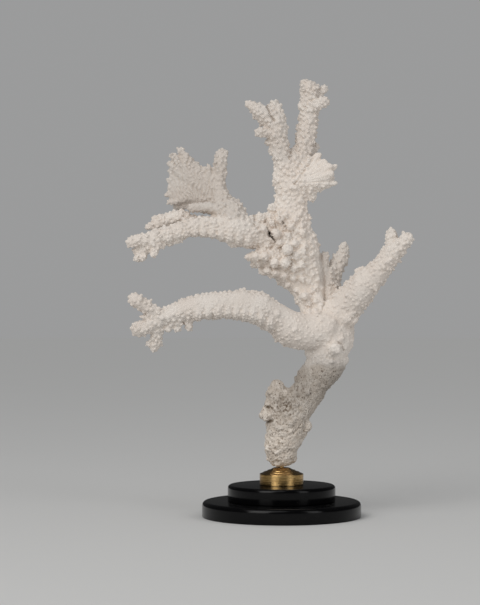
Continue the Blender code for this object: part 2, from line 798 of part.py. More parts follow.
def saw_apart(whole, finish):
    """Each branch as a node of its own; what is left is the trunk."""
    half = GAP / MM / 2
    for name, outline, depth in FORKS:
        own = block(name + "_own", moved_out(outline, -half), (depth[0] + half, depth[1] - half))
        wider = block(name + "_kerf", moved_out(outline, half), (depth[0] - half, depth[1] + half))
        branch = largest_part(cut(whole, own, "INTERSECT"))
        whole = cut(whole, wider, "DIFFERENCE")
        bpy.data.objects.remove(own, do_unlink=True)
        bpy.data.objects.remove(wider, do_unlink=True)
        branch.name = name
        add_object(name, branch, finish)
    return whole


def seat_and_bore():
    """What the foot loses: all below the ferrule's top, and the pin's blind hole."""
    hole = PIN_RADIUS + GAP
    end = PIN_TOP + GAP
    profile = [(0, 0), (SEAT_REACH, 0), (SEAT_REACH, CORAL_FOOT), (hole, CORAL_FOOT), (hole, end), (0, end)]
    seat = add_object("seat", turned_mesh("seat", profile, PIN_SEGMENTS))
    seat.hide_render = True
    seat.display_type = "WIRE"
    return seat


def main():
    clear_scene()
    lacquer = material("black_lacquer", (0.012, 0.012, 0.013), 0.25)
    brass = material("aged_brass", (0.55, 0.36, 0.14), 0.28, 1.0)
    skeleton = material("coral_skeleton", (0.66, 0.62, 0.56), 0.9)
    turned(
        "base_lower_disc",
        disc_profile(LOWER_DISC_RADIUS, 0, LOWER_DISC_HEIGHT, LOWER_DISC_ROUNDING),
        DISC_SEGMENTS,
        lacquer,
    )
    turned(
        "base_upper_disc",
        disc_profile(UPPER_DISC_RADIUS, LOWER_DISC_HEIGHT + GAP, UPPER_DISC_TOP, UPPER_DISC_ROUNDING),
        DISC_SEGMENTS,
        lacquer,
    )
    turned("brass_ferrule", ferrule_profile(), FERRULE_SEGMENTS, brass)
    turned("mounting_pin", pin_profile(), PIN_SEGMENTS, brass)
    trunk = saw_apart(grown_coral(), skeleton)
    seat = seat_and_bore()
    trunk = largest_part(cut(trunk, seat, "DIFFERENCE"))
    bpy.data.objects.remove(seat, do_unlink=True)
    trunk.name = "coral_trunk"
    add_object("coral_trunk", trunk, skeleton)


main()
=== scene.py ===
"""The looks of the branching coral skeleton on its brass and black lacquer stand.

Tubes along the coral's branches are fused and smoothed, then studded with popcorn heads, lumps,
nubs and small cups that lean towards the tips. The worn trunk is pitted instead. The skin is parted
again at the forks, so that each branch is a piece of its own. Lengths are in metres, and MM turns
millimetres into them.
"""

import heapq
import math

import bmesh
import bpy
import numpy as np
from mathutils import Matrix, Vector
from mathutils.bvhtree import BVHTree
from mathutils.kdtree import KDTree


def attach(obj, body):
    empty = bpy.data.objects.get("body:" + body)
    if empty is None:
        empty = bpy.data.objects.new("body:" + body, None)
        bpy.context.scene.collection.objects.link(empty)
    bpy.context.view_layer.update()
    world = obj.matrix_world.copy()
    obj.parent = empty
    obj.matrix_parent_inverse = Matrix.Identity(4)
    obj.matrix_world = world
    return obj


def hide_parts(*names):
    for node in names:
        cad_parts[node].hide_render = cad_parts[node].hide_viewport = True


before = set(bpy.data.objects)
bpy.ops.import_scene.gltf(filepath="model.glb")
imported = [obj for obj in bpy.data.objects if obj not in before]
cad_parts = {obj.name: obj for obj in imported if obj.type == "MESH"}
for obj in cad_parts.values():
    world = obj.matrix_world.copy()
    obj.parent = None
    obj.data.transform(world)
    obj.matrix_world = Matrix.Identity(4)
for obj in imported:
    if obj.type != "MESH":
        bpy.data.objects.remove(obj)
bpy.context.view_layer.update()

MM = 0.001
CORAL_NODES = (
    "coral_trunk", "coral_lower_left_arm", "coral_right_arm", "coral_rear_branch", "coral_crown",
    "coral_crown_left_branch", "coral_crown_right_branch", "coral_broken_stub",
    "coral_upper_left_branch", "coral_upper_left_fan",
)
IN_TRUNK, IN_ARM, IN_RIGHT_ARM, IN_REAR, IN_CROWN, _, _, IN_STUB, IN_UPPER, IN_FAN = range(10)
# How light the skin of each node is, next to the lightest; the rear branch and the fan are darker as
# painted shade, since they lie behind
NODE_TONE_AND_SHADE = (1, 0.92, 0.95, 0.86, 1, 0.88, 0.92, 1, 0.95, 0.8)

# Fusing the skin, and closing it at the forks
BODY_VOXEL = 1.0 * MM
SKIN_VOXEL = 0.64 * MM
CAP_DEPTH = 5.0 * MM
CAP_MARGIN = 0.9 * MM
CAP_RINGS = (0.0, 0.12, 0.25, 0.4, 0.55, 0.75)

SEED = 20
TUBE_SIDES = 18
STEPS_PER_STATION = 4
TURNED_SIDES = 192
PIT_COUNT = 330

# Growths that are strewn: points tried for each that is wanted, how far they lean at random, and
# the ranges of their widths and heights
TRIED = 5
LEAN_SCATTER = 0.12
WIDTH_RANGE = (0.82, 1.18)
HEIGHT_RANGE = (0.7, 1.25)
# Rounds of averaging over neighbours: growth's direction, radii, how proud the skin is, tints, nodes
RISE_ROUNDS, RADIUS_ROUNDS, PROUD_ROUNDS, TINT_ROUNDS, NODE_ROUNDS = 10, 4, 14, 12, 8
# Fine ribs in a full turn around the stub's root and the fan's pivot
STUB_RIB_COUNT, FAN_RIB_COUNT = 46, 92

# The height of the foot's underside, and the branch radius from which growths have their full size
FOOT_BOTTOM = 47.3 * MM
THICK = 7.5 * MM

# Where the cuts near three forks run, in millimetres: x and z as seen from the front, y from the axis
FORK_LEFT, UPPER_RIGHT, UPPER_BOTTOM = -14, -19, 255
FAN_RIGHT = -34
REAR_LEFT, REAR_FRONT, REAR_BOTTOM = 44.5, 19.5, 217
# The height of the ledge where the worn trunk ends, in millimetres
LEDGE = 146

# Places in metres: a brown stain and a pink spot on the trunk, and what the softboxes point at
STAIN = (0.0035, -0.016, 0.1075)
PINK_SPOT = (0.0303, -0.0145, 0.1372)
LIT_PLACE = (0.0, 0.0, 0.22)

# The discs' radius, underside, top and rounding in millimetres
LOWER_DISC = (76.2, 0, 15, 4)
UPPER_DISC = (51.6, 15.3, 30.5, 3)
# The ferrule's profile as radius and height in millimetres, from the foot of its wall to the
# floor of its bore
FERRULE_PROFILE = (
    (20.7, 30.8), (20.7, 31), (21, 31.3), (21, 40.7), (20.8, 41), (20.3, 41.2), (17.1, 42.6),
    (16.9, 43), (16.5, 43.1), (16.2, 42.9), (13.4, 44.1), (13.2, 44.5), (12.8, 44.6), (12.5, 44.4),
    (9.6, 45.7), (8.6, 46.4), (7.4, 46.8), (2.8, 46.8), (2.8, 33.7),
)

# The eye from which the stations were measured, in millimetres
EYE_X = -39.8
EYE_Z = 205.0
EYE_DISTANCE = 1800.0

# Branches as rows of stations (x, y, z, radius) in millimetres: x, z and radius as seen from
# the front, y how far behind the stand's axis
TRUNK = (
    (0.3, 0, 62.1, 15.4), (0.2, 0, 67, 16.9), (2.6, 0, 76, 18), (4.5, 0, 86, 19.2), (8, 1, 96, 18.7),
    (14, 2, 105, 17.5), (20.5, 3, 113, 16.5), (26.6, 4, 121, 16.2), (30.1, 5, 130, 17),
    (37.2, 5.5, 138.4, 17.8), (43.3, 5, 147, 18.8), (43.2, 5, 156, 19.7), (45.3, 7, 166, 23),
    (47, 11, 178, 23.4), (48, 12, 188, 20),
)
STUMP = (
    (2, 1, 88, 12), (-2, 1, 98, 13), (-5, 0, 108, 10.5), (-4.8, 0, 118, 9.8), (-4.2, 0, 124.5, 7.7),
)
STUMP_SHELF = ((4, 0, 104, 9), (5.5, 0, 112, 8), (4.8, 0, 119, 5.6))

LOWER_LEFT_ARM = (
    (39, -1, 179, 19), (30, -3, 176.8, 19.3), (18, -7, 177.2, 18.6), (8, -11, 180.8, 18.4),
    (-3, -15, 189, 15.7), (-12, -19, 193.8, 15.6), (-22, -22, 199.5, 16.3), (-32, -24, 201.5, 15.5),
    (-42, -26, 203, 14.8), (-52, -28, 203, 13.5), (-62, -30, 202.5, 13.5), (-72, -31, 202, 13),
    (-82, -33, 200, 12.7), (-92, -34, 197, 12), (-101, -36, 194.5, 10.6), (-109, -37, 192.5, 9.6),
    (-116, -38, 190, 8.8), (-121, -39, 188, 8),
)
LOWER_LEFT_TIPS = (
    ((-115, -38, 191, 8.5), (-123, -41, 197, 7.2), (-132.4, -44, 202.6, 7.3), (-140.5, -46, 207.7, 7.8)),
    ((-117, -39, 188, 8), (-127, -38, 183, 8.2), (-137.4, -36, 179, 8.4)),
    ((-118, -38, 187, 7.5), (-119, -34, 177, 7.2), (-120.5, -32, 168, 6.4), (-122.4, -31, 160.9, 4.8)),
)

RIGHT_ARM = (
    (49, 12, 180, 22), (56, 8, 196, 18.4), (66, 2, 206.5, 16.7), (76, -4, 217.5, 15.6),
    (85.3, -8, 227.4, 13.5), (93.3, -10, 235.5, 12.1), (99.8, -12, 243.2, 11), (105, -13, 251, 10.5),
)
RIGHT_TIPS = (
    ((104, -13, 250, 9.6), (105.5, -11, 260, 7.4), (105.5, -10, 271.3, 6.5)),
    ((105, -13, 251, 9.6), (113, -16, 258.5, 8.4), (119.8, -18, 265.3, 7.9)),
)
RIGHT_ARM_LOBE = ((55, 12, 205, 9), (59, 14, 214, 6.5), (61, 14, 218.5, 4.5))

REAR_BRANCH = (
    (47, 18, 202, 12), (49, 24, 214, 9.5), (49.5, 28, 225, 7.7), (51.4, 30, 236, 8.3),
    (56.5, 31, 246, 7.7), (59.3, 31, 253, 6.6), (59.8, 31, 259.4, 4.8),
)

CROWN = (
    (33, 8, 180, 13), (31, 11, 192, 12), (30, 13, 200, 12.4), (27, 15, 210, 15.2),
    (24.5, 17, 220, 18.2), (20, 18, 230, 22.6), (14.3, 18, 240, 25.8), (12, 18, 250, 27),
    (12, 17, 260, 24.5), (10.3, 16, 270, 20.9), (9, 15, 280, 20), (8, 15, 290, 18.5),
    (9, 15, 300, 16.5), (10, 15, 310, 16.5), (9, 15, 320, 17.6), (8, 15, 330, 17.4),
    (8.2, 15, 338, 14.8),
)
CROWN_SPIKES = (
    ((2, 10, 246, 13), (-14, 4, 248, 10), (-25, 0, 248.5, 7), (-32.6, -2, 248.4, 3.8)),
    ((4, 12, 232, 10), (-8, 8, 234.5, 6.5), (-19.3, 6, 234.8, 4)),
    ((-14, 6, 244, 6), (-27, 5, 241.4, 4.4)),
    ((0, 14, 282, 12), (-10, 12, 283, 9.5), (-18, 11, 284, 7.3)),
    ((2, 14, 286, 10), (-5, 14, 292, 7), (-8, 14, 296, 5)),
)
CROWN_REAR_LOBE = ((32, 20, 214, 9), (37, 22, 234, 8), (41.3, 24, 249.5, 5.4))
REAR_WEB = ((40, 19, 200, 10), (43.5, 21, 217, 8.5), (45.5, 24, 234, 6))

CROWN_LEFT_BRANCH = (
    (8, 15, 328, 13), (3, 13, 338, 11), (0, 11, 346, 10), (-2, 10, 355, 10.2), (-3.5, 9, 363, 10),
    (-4.2, 8, 371, 10.8), (-5.2, 8, 378, 10.8),
)
CROWN_LEFT_TIPS = (
    (
        (-6, 8, 374, 10), (-13, 7, 382, 9.5), (-20.5, 5, 388, 8.7), (-27, 4, 392.3, 6.6),
        (-32, 3, 395.5, 4.4),
    ),
    ((-3.5, 8, 376, 9.3), (-4.2, 10, 384, 8.2), (-6.8, 11, 392.2, 7.6)),
    ((-4, 8, 366, 8), (-13, 4, 367.8, 5.8), (-21.5, 2, 368, 5.8)),
)

CROWN_RIGHT_BRANCH = (
    (12, 16, 326, 13), (16, 18, 336, 11.5), (19, 19, 346, 9.9), (21.5, 20, 356, 9.7),
    (23.8, 21, 366, 10.2), (25.2, 22, 376, 10.1), (26.2, 22, 386, 9.9), (26, 22, 396, 9.5),
    (26.8, 21, 405, 9), (26.3, 20, 411, 8.6),
)
CROWN_RIGHT_TIPS = (
    ((28, 20, 392, 8), (35, 15, 395, 6.6), (41, 13, 397.3, 6)),
    ((29, 23, 398, 7), (36, 25, 404, 4.8), (40.8, 26, 409.8, 4.8)),
    ((23, 24, 342, 8), (29, 28, 350, 5), (33, 29, 354.5, 4.6)),
)

STUB_ROOT = (12, 15, 318, 14)
STUB_MIDDLE = (29, 15, 324, 13.5)
STUB_ENDS = (
    (35.7, 12, 346.2, 3.9), (41, 9, 340, 3.8), (46, 6, 335.3, 4.4), (51.6, 9, 335.5, 3.4),
    (47.6, 4, 328, 4.4), (47.6, 14, 324, 4.4), (51.2, 9, 319.5, 3.4), (43, 6, 319, 3.8),
    (38, 10, 315, 3.6), (28, 13, 307.8, 6), (44.5, 25, 330, 4), (42, 22, 321, 4), (37, 25, 338, 4),
)

UPPER_LEFT_BRANCH = (
    (6, 14, 262, 12), (-7, 11, 265, 13), (-18, 7, 268, 13.5), (-30, 3, 271, 14.8), (-41, 0, 275, 15.8),
    (-51, -2, 276, 14.8), (-62, -4, 277, 11.5), (-75, -6, 277.5, 10.2), (-88, -9, 277, 9.2),
    (-99, -11, 274, 8.5), (-110, -13, 270.5, 8.5), (-120, -14, 268, 8), (-130, -15, 265.4, 7.2),
    (-139, -16, 264, 6.8), (-145.4, -17, 262, 5),
)
UPPER_LEFT_REAR_STRAND = (
    (-54, 4, 283, 11), (-70, 6, 281, 7.2), (-83, 7, 282.4, 6.6), (-97, 7, 286, 8.3),
    (-110, 6, 283.7, 7.6), (-119, 5, 280.5, 6.3), (-128.3, 5, 276.8, 3.6),
)
UPPER_LEFT_SPURS = (
    ((-122, -14, 265, 7.5), (-131.6, -11, 257.5, 7.8), (-134.8, -10, 249.4, 6.2)),
    ((-119, -14, 263, 6), (-122.8, -16, 250.8, 4.2)), ((-96, -11, 272, 5), (-97.2, -11, 265.2, 4.2)),
    ((-105, -12, 268, 4.2), (-106.8, -12, 261, 3.6)), ((-112, -13, 266, 4.2), (-114, -13, 259.4, 3.8)),
    ((-112, 7, 286, 5), (-122.5, 8, 285.6, 3.4)), ((-72, -8, 273, 5), (-76, -9, 272, 4)),
    ((-84, -9, 273, 5), (-86, -9, 270.6, 3.8)), ((-45, -1, 270, 9), (-46, -3, 262.8, 6.6)),
    ((-38, -1, 268, 8), (-36.5, -3, 262.2, 5.5)), ((-99, -11, 272, 5), (-101.5, -12, 263.5, 3.8)),
)

FAN_SHOULDER = ((-44, 0, 278, 14), (-48, 6, 288, 15), (-54, 12, 297, 13), (-57, 15, 306, 9.2))
FAN_FINGER = (
    (-57.5, 14, 302, 10.5), (-59.6, 16, 313, 7.6), (-59.2, 17, 325, 7), (-59.5, 17, 337, 6.8),
    (-58.3, 17, 346, 6.6),
)
FAN_SPURS = (
    ((-62, 16, 314, 7), (-68.4, 16, 326, 4.4), (-69.6, 16, 334.5, 3.6)),
    ((-58, 17, 340, 5.5), (-54, 15, 347.5, 4)), ((-57, 17, 335, 5.5), (-54.6, 15, 341, 3.4)),
    ((-42, 3, 286, 10), (-44.5, 6, 297, 7.5), (-43.8, 7, 300.5, 5.4)),
    ((-38, 2, 284, 8), (-39.9, 3, 289.8, 4)), ((-30, 3, 278, 8), (-28.6, 4, 285.6, 4.2)),
    ((-58, 4, 294, 7), (-72, 2, 296.4, 5.8), (-86, 0, 295.5, 5.2)),
    ((-76, 22, 299.5, 6.5), (-90, 25, 298.5, 5.4), (-101, 26, 297, 4.2)),
    ((-62, 12, 294, 7), (-80, 16, 294.5, 3.6)),
    ((-88, 20, 306, 5), (-101, 20, 302, 3.8), (-107.8, 20, 301, 3)),
)
FAN_ROOT = (-62, 18, 304, 8.5)
FAN_ENDS = (
    (-76, 18, 332.3, 4.2), (-83, 18, 338, 4), (-88.5, 17, 343.6, 3.2), (-97.4, 16, 351.4, 3.8),
    (-104.6, 16, 345.6, 4.4), (-107.8, 17, 337.8, 3.4), (-106.4, 20, 331, 4), (-107, 20, 322, 4.2),
    (-106.8, 20, 314, 4.2), (-111, 20, 308.4, 2.8), (-97, 20, 307, 5),
)
# Where the fan's fine ribs converge, as x and z
FAN_PIVOT = (-74, 262)
FAN_WEB = (
    (-62, 296), (-90, 302), (-106, 308), (-107, 340), (-98, 346), (-88, 341), (-76, 331), (-66, 318),
)
FAN_WEB_DEPTH = (17.5, 21.5)

# Creases between branches: half width, depth, darkness of the painted shade in them, and a line of places
# seen from the front
CREASES = (
    (1, 2, 0.35, ((-13.6, 393), (-11, 386), (-7.3, 379.4))),
    (0.9, 1.4, 0.1, ((9.6, 358), (8.4, 349), (7.1, 342))),
    (1.2, 1.4, 0.2, ((31, 345), (24, 334), (18, 326), (13, 318.5))),
    (0.8, 2.5, 0.7, ((-13, 273.5), (-11, 270))), (1.7, 4, 0.9, ((-11.2, 270.6), (-10.4, 269.2))),
    (1.1, 3.5, 0.8, ((-10.4, 269.2), (-8.4, 266.2))), (0.8, 2.5, 0.6, ((-8.4, 266.2), (-5.8, 263.2))),
    (1, 1.8, 0.3, ((-25.5, 278), (-26.5, 283), (-26, 289))),
    (0.9, 1.6, 0.3, ((-12.2, 272), (-14, 277), (-13, 283))),
    (0.8, 1.4, 0.35, ((-1.2, 286.8), (-0.6, 285.4))), (0.8, 1.6, 0.5, ((1, 282.6), (1.8, 281))),
    (0.9, 1.6, 0.45, ((3.8, 278.2), (4.8, 276.5))),
    (0.9, 1, 0.15, ((37.5, 252), (40, 240), (41.5, 226), (41.3, 214))),
    (0.9, 1.2, 0.3, ((41.4, 214), (41.2, 204.5), (38, 195.5), (33, 190))),
    (0.6, 0.8, 0.3, ((33.5, 168), (40, 168))), (0.6, 0.8, 0.3, ((63.4, 180), (67, 181))),
    (0.9, 1.2, 0.35, ((54, 167.5), (58, 164), (59.5, 159))),
    (0.9, 0.5, 0.12, ((38, 151.4), (44, 152.3), (50, 150.5))), (1.6, 1.2, 0.2, ((1, 108), (4, 109))),
    (1.2, 1.2, 0.25, ((7.5, 109.5), (5, 106.5))),
    (1.1, 1.2, 0.2, ((-15, 104.8), (-9.5, 104), (-7, 101))),
    (1.1, 1.2, 0.2, ((-14, 90), (-9, 91.5), (-5, 95))), (1.2, 1, 0.15, ((12, 80), (16, 84), (20, 90))),
)

# The crown's largest popcorn heads: x, z and radius as seen from the front
HEADS = (
    (29.5, 217.5, 2.8), (26, 204.5, 3.2), (32, 206.5, 2.8), (25.5, 197, 2.8), (31.5, 197.5, 2.8),
    (5.4, 254.7, 5.4), (-4.9, 271.3, 4.8), (5.4, 268.2, 4), (-1.6, 285.5, 3.8), (-20.7, 286.4, 4.8),
    (-9, 296, 4.4), (3, 241.9, 4.9), (-7.3, 242.9, 4.7), (-16, 248.2, 4.6), (-24.5, 249.6, 4.4),
    (12.6, 248.9, 4.4), (12.2, 261, 4), (-2.2, 261.8, 4.4), (20.6, 271.5, 3.8), (-12.6, 235.8, 4),
    (-4.6, 233, 4), (2.5, 229.5, 3.4), (11.2, 237, 4.2), (11, 227.6, 3.2), (20.4, 227, 3.2),
    (6.2, 221.3, 3), (21.3, 211, 3.6), (14.2, 216, 3), (19, 240, 4), (20.4, 254, 4),
    (-10.6, 279.5, 4.2), (8.4, 277, 3.8), (-17, 275.5, 3.8),
)

# Where lobes hang from the long branches, and each lobe's stations as the angle down from the
# front, how far inside the branch's radius, and the share of the lobe's radius
LOBE_STATIONS = ((10, 3.6, 0.6), (42, 2, 1), (80, 3.2, 1))
ARM_LOBES = (-80.1, -70.4, -60.6, -51.4, -43.2, -35.4, -27.6, -19.8, -11.4)
UPPER_LEFT_LOBES = (-108.4, -99.6, -91.8, -83.4, -74.8, -66.2, -57.6, -49.4, -41, -32.2)

TRUNK_KNOBS = (
    ((-6, 0, 97, 9), (-14, -5, 97.4, 7.2)), ((-6, 0, 108, 8), (-12, -3, 107.8, 5.4)),
    ((-6, 0, 112, 8), (-9.8, -2, 117.5, 4.6)), ((0, 0, 114, 8), (4, -5, 117, 5)),
    ((2, 0, 92, 12), (9, -13, 90, 5.5)), ((0, 0, 88, 12), (-2, -14, 85, 5)),
    ((10, 0, 90, 12), (18, -10, 89, 4.5)), ((14, 0, 82, 10), (23.4, -3, 86.3, 6.6)),
    ((14, 0, 76, 10), (19, 0, 79, 6)), ((3, 0, 58, 10), (10.2, 0, 55.8, 5.6)),
    ((30, 4, 133, 12), (22.1, 4, 135.2, 8.4)), ((46, -4, 158, 8), (51, -14, 160.8, 6.4)),
    ((50, 4, 149, 12), (60.5, 4, 149.6, 5)), ((34, 0, 160, 9), (28.3, 0, 156.4, 6.6)),
    ((56, 4, 172, 14), (62.3, 4, 168.5, 7.6)), ((-2, 0, 120, 6), (-4.5, 0, 127.8, 3.4)),
    ((-4, 0, 119, 8), (-10.2, 0, 122.5, 3.6)), ((-1, 0, 118, 7), (1.6, 0, 123.2, 3.4)),
)
ARM_BRANCHLETS = (
    ((-108, -37, 188, 4.6), (-108.5, -37, 178.6, 3.8)), ((-100, -35, 189, 5.6), (-100, -35, 180.2, 5)),
    ((-90, -34, 190, 5.2), (-88.5, -34, 180.8, 4.6)), ((-79, -32, 194, 4.5), (-79, -32, 190.5, 3.6)),
    ((-65, -30, 194, 4.5), (-65, -30, 191, 3.6)), ((-13, -19, 188, 8), (-17.5, -20, 182.5, 4.8)),
    ((-2, -17, 182, 10), (3.6, -14, 173.2, 8.2)), ((-22, -22, 210, 5), (-22, -22, 213.5, 3.6)),
    ((-37.5, -25, 212, 5), (-37, -25, 215.8, 4)), ((-67, -30, 210, 4.5), (-67, -30, 212.6, 3.4)),
    ((-124, -40, 190, 5), (-134.5, -42, 191.3, 2.4)), ((-133, -37, 184, 5), (-139.5, -39, 184.5, 3.2)),
    ((-132, -37, 180, 5), (-133, -35, 174.5, 3.6)), ((-121, -32, 169, 4), (-128.4, -32, 165.4, 3)),
    ((-119, -31, 168, 4.2), (-116.6, -31, 165.6, 3.8)),
)
RIGHT_ARM_BRANCHLETS = (
    ((74, -4, 231, 6), (73, -4, 236, 3.5)), ((79, -5, 233, 6), (78.5, -5, 237, 3.5)),
    ((106, -13, 246, 6), (111.5, -13, 246, 4)), ((112, -15, 256, 6), (116.5, -15, 253, 3.8)),
    ((97, -11, 238, 8), (103.5, -11, 239, 3.8)), ((64, 0, 190, 12), (67, 0, 188, 7)),
)
CROWN_LUMPS = (
    ((6, 8, 256, 8), (6, -1, 256, 5)), ((5, 8, 247, 8), (5, -2, 247, 4.6)),
    ((0, 8, 242, 7), (0, -1, 242.5, 4.4)), ((-7, 8, 245, 7), (-8, 0, 245.5, 4.2)),
    ((23, 8, 210, 8), (22, 0, 210, 5.2)), ((-4, 8, 270, 8), (-5, 1, 270, 4.8)),
    ((8, 8, 264, 8), (5, 1, 262, 4.6)), ((24, 10, 208, 9), (27, 3, 192, 9)),
    ((33, 10, 208, 9), (36, 3, 192, 9)),
)
TOP_KNOBS = (
    ((-6, 10, 350, 6), (-11.5, 9, 350, 2.8)), ((-8, 9, 359, 6), (-14.5, 8, 358.5, 3)),
    ((20, 20, 393, 6), (17.3, 19, 393, 2.6)), ((21, 20, 403, 6), (19.6, 19, 402, 2.6)),
    ((24, 20, 410, 8), (23.2, 20, 413.8, 6)), ((28, 20, 408, 7), (32, 20, 411.7, 4.2)),
    ((10, 15, 338, 9), (10, 15, 349.5, 4.6)),
)


# Every place and radius along the branches, filled in as they are made
AXES = []
# All random draws but those of the ledge come from here, in a fixed order
RNG = np.random.default_rng(SEED)


def pick(*items):
    """Selects these objects alone; the last one is active."""
    bpy.ops.object.select_all(action="DESELECT")
    for item in items:
        item.select_set(True)
    bpy.context.view_layer.objects.active = items[-1]


def mode(name):
    bpy.ops.object.mode_set(mode=name)


def fused(items, voxel, rounds):
    """The objects as one closed skin, smoothed this many times."""
    pick(*items)
    bpy.ops.object.join()
    skin = bpy.context.view_layer.objects.active
    remesh = skin.modifiers.new("fuse", "REMESH")
    remesh.mode = "VOXEL"
    remesh.voxel_size = voxel
    bpy.ops.object.modifier_apply(modifier=remesh.name)
    soften = skin.modifiers.new("soften", "SMOOTH")
    soften.factor = 0.5
    soften.iterations = rounds
    bpy.ops.object.modifier_apply(modifier=soften.name)
    return skin


def added(name):
    """The object that was just added, under this name."""
    item = bpy.context.active_object
    item.name = name
    return item


def new_object(name, mesh):
    made = bpy.data.objects.new(name, mesh)
    bpy.context.scene.collection.objects.link(made)
    return made


def mesh_from_triangles(name, verts, triangles):
    mesh = bpy.data.meshes.new(name)
    mesh.vertices.add(len(verts))
    mesh.vertices.foreach_set("co", verts.astype(np.float32).ravel())
    mesh.loops.add(triangles.size)
    mesh.loops.foreach_set("vertex_index", triangles.astype(np.int32).ravel())
    mesh.polygons.add(len(triangles))
    mesh.polygons.foreach_set("loop_start", np.arange(0, triangles.size, 3, dtype=np.int32))
    mesh.update(calc_edges=True)
    return new_object(name, mesh)


def read(rows, name, width, kind=np.float32):
    """A property of each of a mesh's elements, as rows of this width."""
    found = np.empty(len(rows) * width, kind)
    rows.foreach_get(name, found)
    return found.reshape(-1, width)


def at_depth(stations):
    """Real places and radii, in metres, of stations seen from the front."""
    rows = np.array(stations, float)
    scale = (EYE_DISTANCE + rows[:, 1]) / EYE_DISTANCE
    x = EYE_X + (rows[:, 0] - EYE_X) * scale
    z = EYE_Z + (rows[:, 2] - EYE_Z) * scale
    return np.stack((x, rows[:, 1], z, rows[:, 3] * scale), axis=1) * MM


def from_front(places):
    """The x and z of places as the stations give them, seen from the front, in millimetres."""
    scale = EYE_DISTANCE / (EYE_DISTANCE + places[:, 1] / MM)
    x = EYE_X + (places[:, 0] / MM - EYE_X) * scale
    z = EYE_Z + (places[:, 2] / MM - EYE_Z) * scale
    return x, z


def beside(stations, z, radii):
    """The x of a place so many radii right of a branch's middle, at each height."""
    rows = np.array(stations, float)
    return np.interp(z, rows[:, 2], rows[:, 0] + radii * rows[:, 3])


def smooth_path(rows):
    """Places and radii on a smooth curve through the rows."""
    if len(rows) == 2:
        return rows
    path = []
    for i in range(len(rows) - 1):
        a, b, c, d = (rows[min(max(k, 0), len(rows) - 1)] for k in (i - 1, i, i + 1, i + 2))
        for t in np.arange(STEPS_PER_STATION) / STEPS_PER_STATION:
            curve = (3 * b - a - 3 * c + d) * t**3 + (2 * a - 5 * b + 4 * c - d) * t**2 + (c - a) * t
            path.append(b + curve / 2)
    return np.array(path + [rows[-1]])


def tube(path, depth_share, thinner):
    """Vertices and triangles of a round-ended branch. Its radii are a little under the path's,
    so that what grows on it reaches them."""
    places, radii = path[:, :3], path[:, 3] - np.minimum(thinner, path[:, 3] * 0.2)
    along = unit(np.gradient(places, axis=0))
    turns = np.linspace(0, math.pi / 2, 5)[1:-1]
    sines, cosines = np.sin(turns)[:, None], np.cos(turns)
    first = places[0] - along[0] * radii[0] * sines[::-1]
    last = places[-1] + along[-1] * radii[-1] * sines
    centres = np.concatenate((first, places, last))
    along = along[np.clip(np.arange(len(centres)) - len(turns), 0, len(places) - 1)]
    radii = np.concatenate((radii[0] * cosines[::-1], radii, radii[-1] * cosines))
    across = np.cross(along, (0.0, 1.0, 0.0))
    across[np.linalg.norm(across, axis=1) < 0.2] = (1.0, 0.0, 0.0)
    across = unit(across)
    deep = np.cross(across, along)
    angles = (np.arange(TUBE_SIDES) * math.tau / TUBE_SIDES)[None, :, None]
    ring = across[:, None] * np.cos(angles) + deep[:, None] * np.sin(angles) * depth_share
    rings = centres[:, None] + ring * radii[:, None, None]
    verts = np.concatenate((rings.reshape(-1, 3), centres[:1], centres[-1:]))
    end = len(centres) * TUBE_SIDES
    i = np.arange(TUBE_SIDES)
    j = (i + 1) % TUBE_SIDES
    low = np.arange(0, end - TUBE_SIDES, TUBE_SIDES)[:, None]
    high = low + TUBE_SIDES
    walls = np.stack((low + i, low + j, high + j, low + i, high + j, high + i), axis=-1)
    top = end - TUBE_SIDES
    ends = np.full_like(i, end)
    tips = np.stack((j, i, ends, top + i, top + j, ends + 1), axis=-1)
    return verts, np.concatenate((walls.reshape(-1, 3), tips.reshape(-1, 3)))


def branches(name, rows, depth_share=0.92, thinner=1.3 * MM):
    """Many branches as one object."""
    verts = np.empty((0, 3))
    triangles = np.empty((0, 3), int)
    for stations in rows:
        path = smooth_path(at_depth(stations))
        AXES.extend(path.tolist())
        more, faces = tube(path, depth_share, thinner)
        triangles = np.concatenate((triangles, faces + len(verts)))
        verts = np.concatenate((verts, more))
    return mesh_from_triangles(name, verts, triangles)


def unit(vectors):
    return vectors / np.maximum(np.linalg.norm(vectors, axis=1, keepdims=True), 1e-9)


def ramp(start, end, values):
    """0 up to start, 1 from end on, smooth in between. With end below start it falls."""
    t = np.clip((values - start) / (end - start), 0.0, 1.0)
    return t * t * (3 - 2 * t)


class Skin:
    """An object's vertices, normals, neighbours and nodes as arrays."""

    def __init__(self, item, surface):
        mesh = item.data
        self.item = item
        self.count = len(mesh.vertices)
        self.places = read(mesh.vertices, "co", 3).astype(float)
        self.normals = read(mesh.vertex_normals, "vector", 3).astype(float)
        edges = read(mesh.edges, "vertices", 2, np.int32)
        self.ends = np.concatenate((edges[:, 0], edges[:, 1]))
        self.others = np.concatenate((edges[:, 1], edges[:, 0]))
        self.degree = np.bincount(self.ends, minlength=self.count)
        self.x, self.z = from_front(self.places)
        self.nodes = nodes_at(self, surface)

    def gathered(self, per_end):
        """Sums, at each vertex, a value that every edge brings to each of its two ends."""
        if per_end.ndim == 1:
            return np.bincount(self.ends, weights=per_end, minlength=self.count)
        return np.stack([self.gathered(column) for column in per_end.T], axis=1)

    def spread(self, values, rounds):
        """The values, averaged with their neighbours' this many times."""
        share = self.degree + 1 if values.ndim == 1 else (self.degree + 1)[:, None]
        for _ in range(rounds):
            values = (self.gathered(values[self.others]) + values) / share
        return values

    def keep(self, name, values):
        """Stores a number for each vertex, for the material."""
        made = self.item.data.attributes.new(name, "FLOAT", "POINT")
        made.data.foreach_set("value", values.astype(np.float32))

    def move(self, offsets):
        self.places = self.places + offsets
        self.x, self.z = from_front(self.places)
        self.item.data.vertices.foreach_set("co", self.places.astype(np.float32).ravel())
        self.item.data.update()


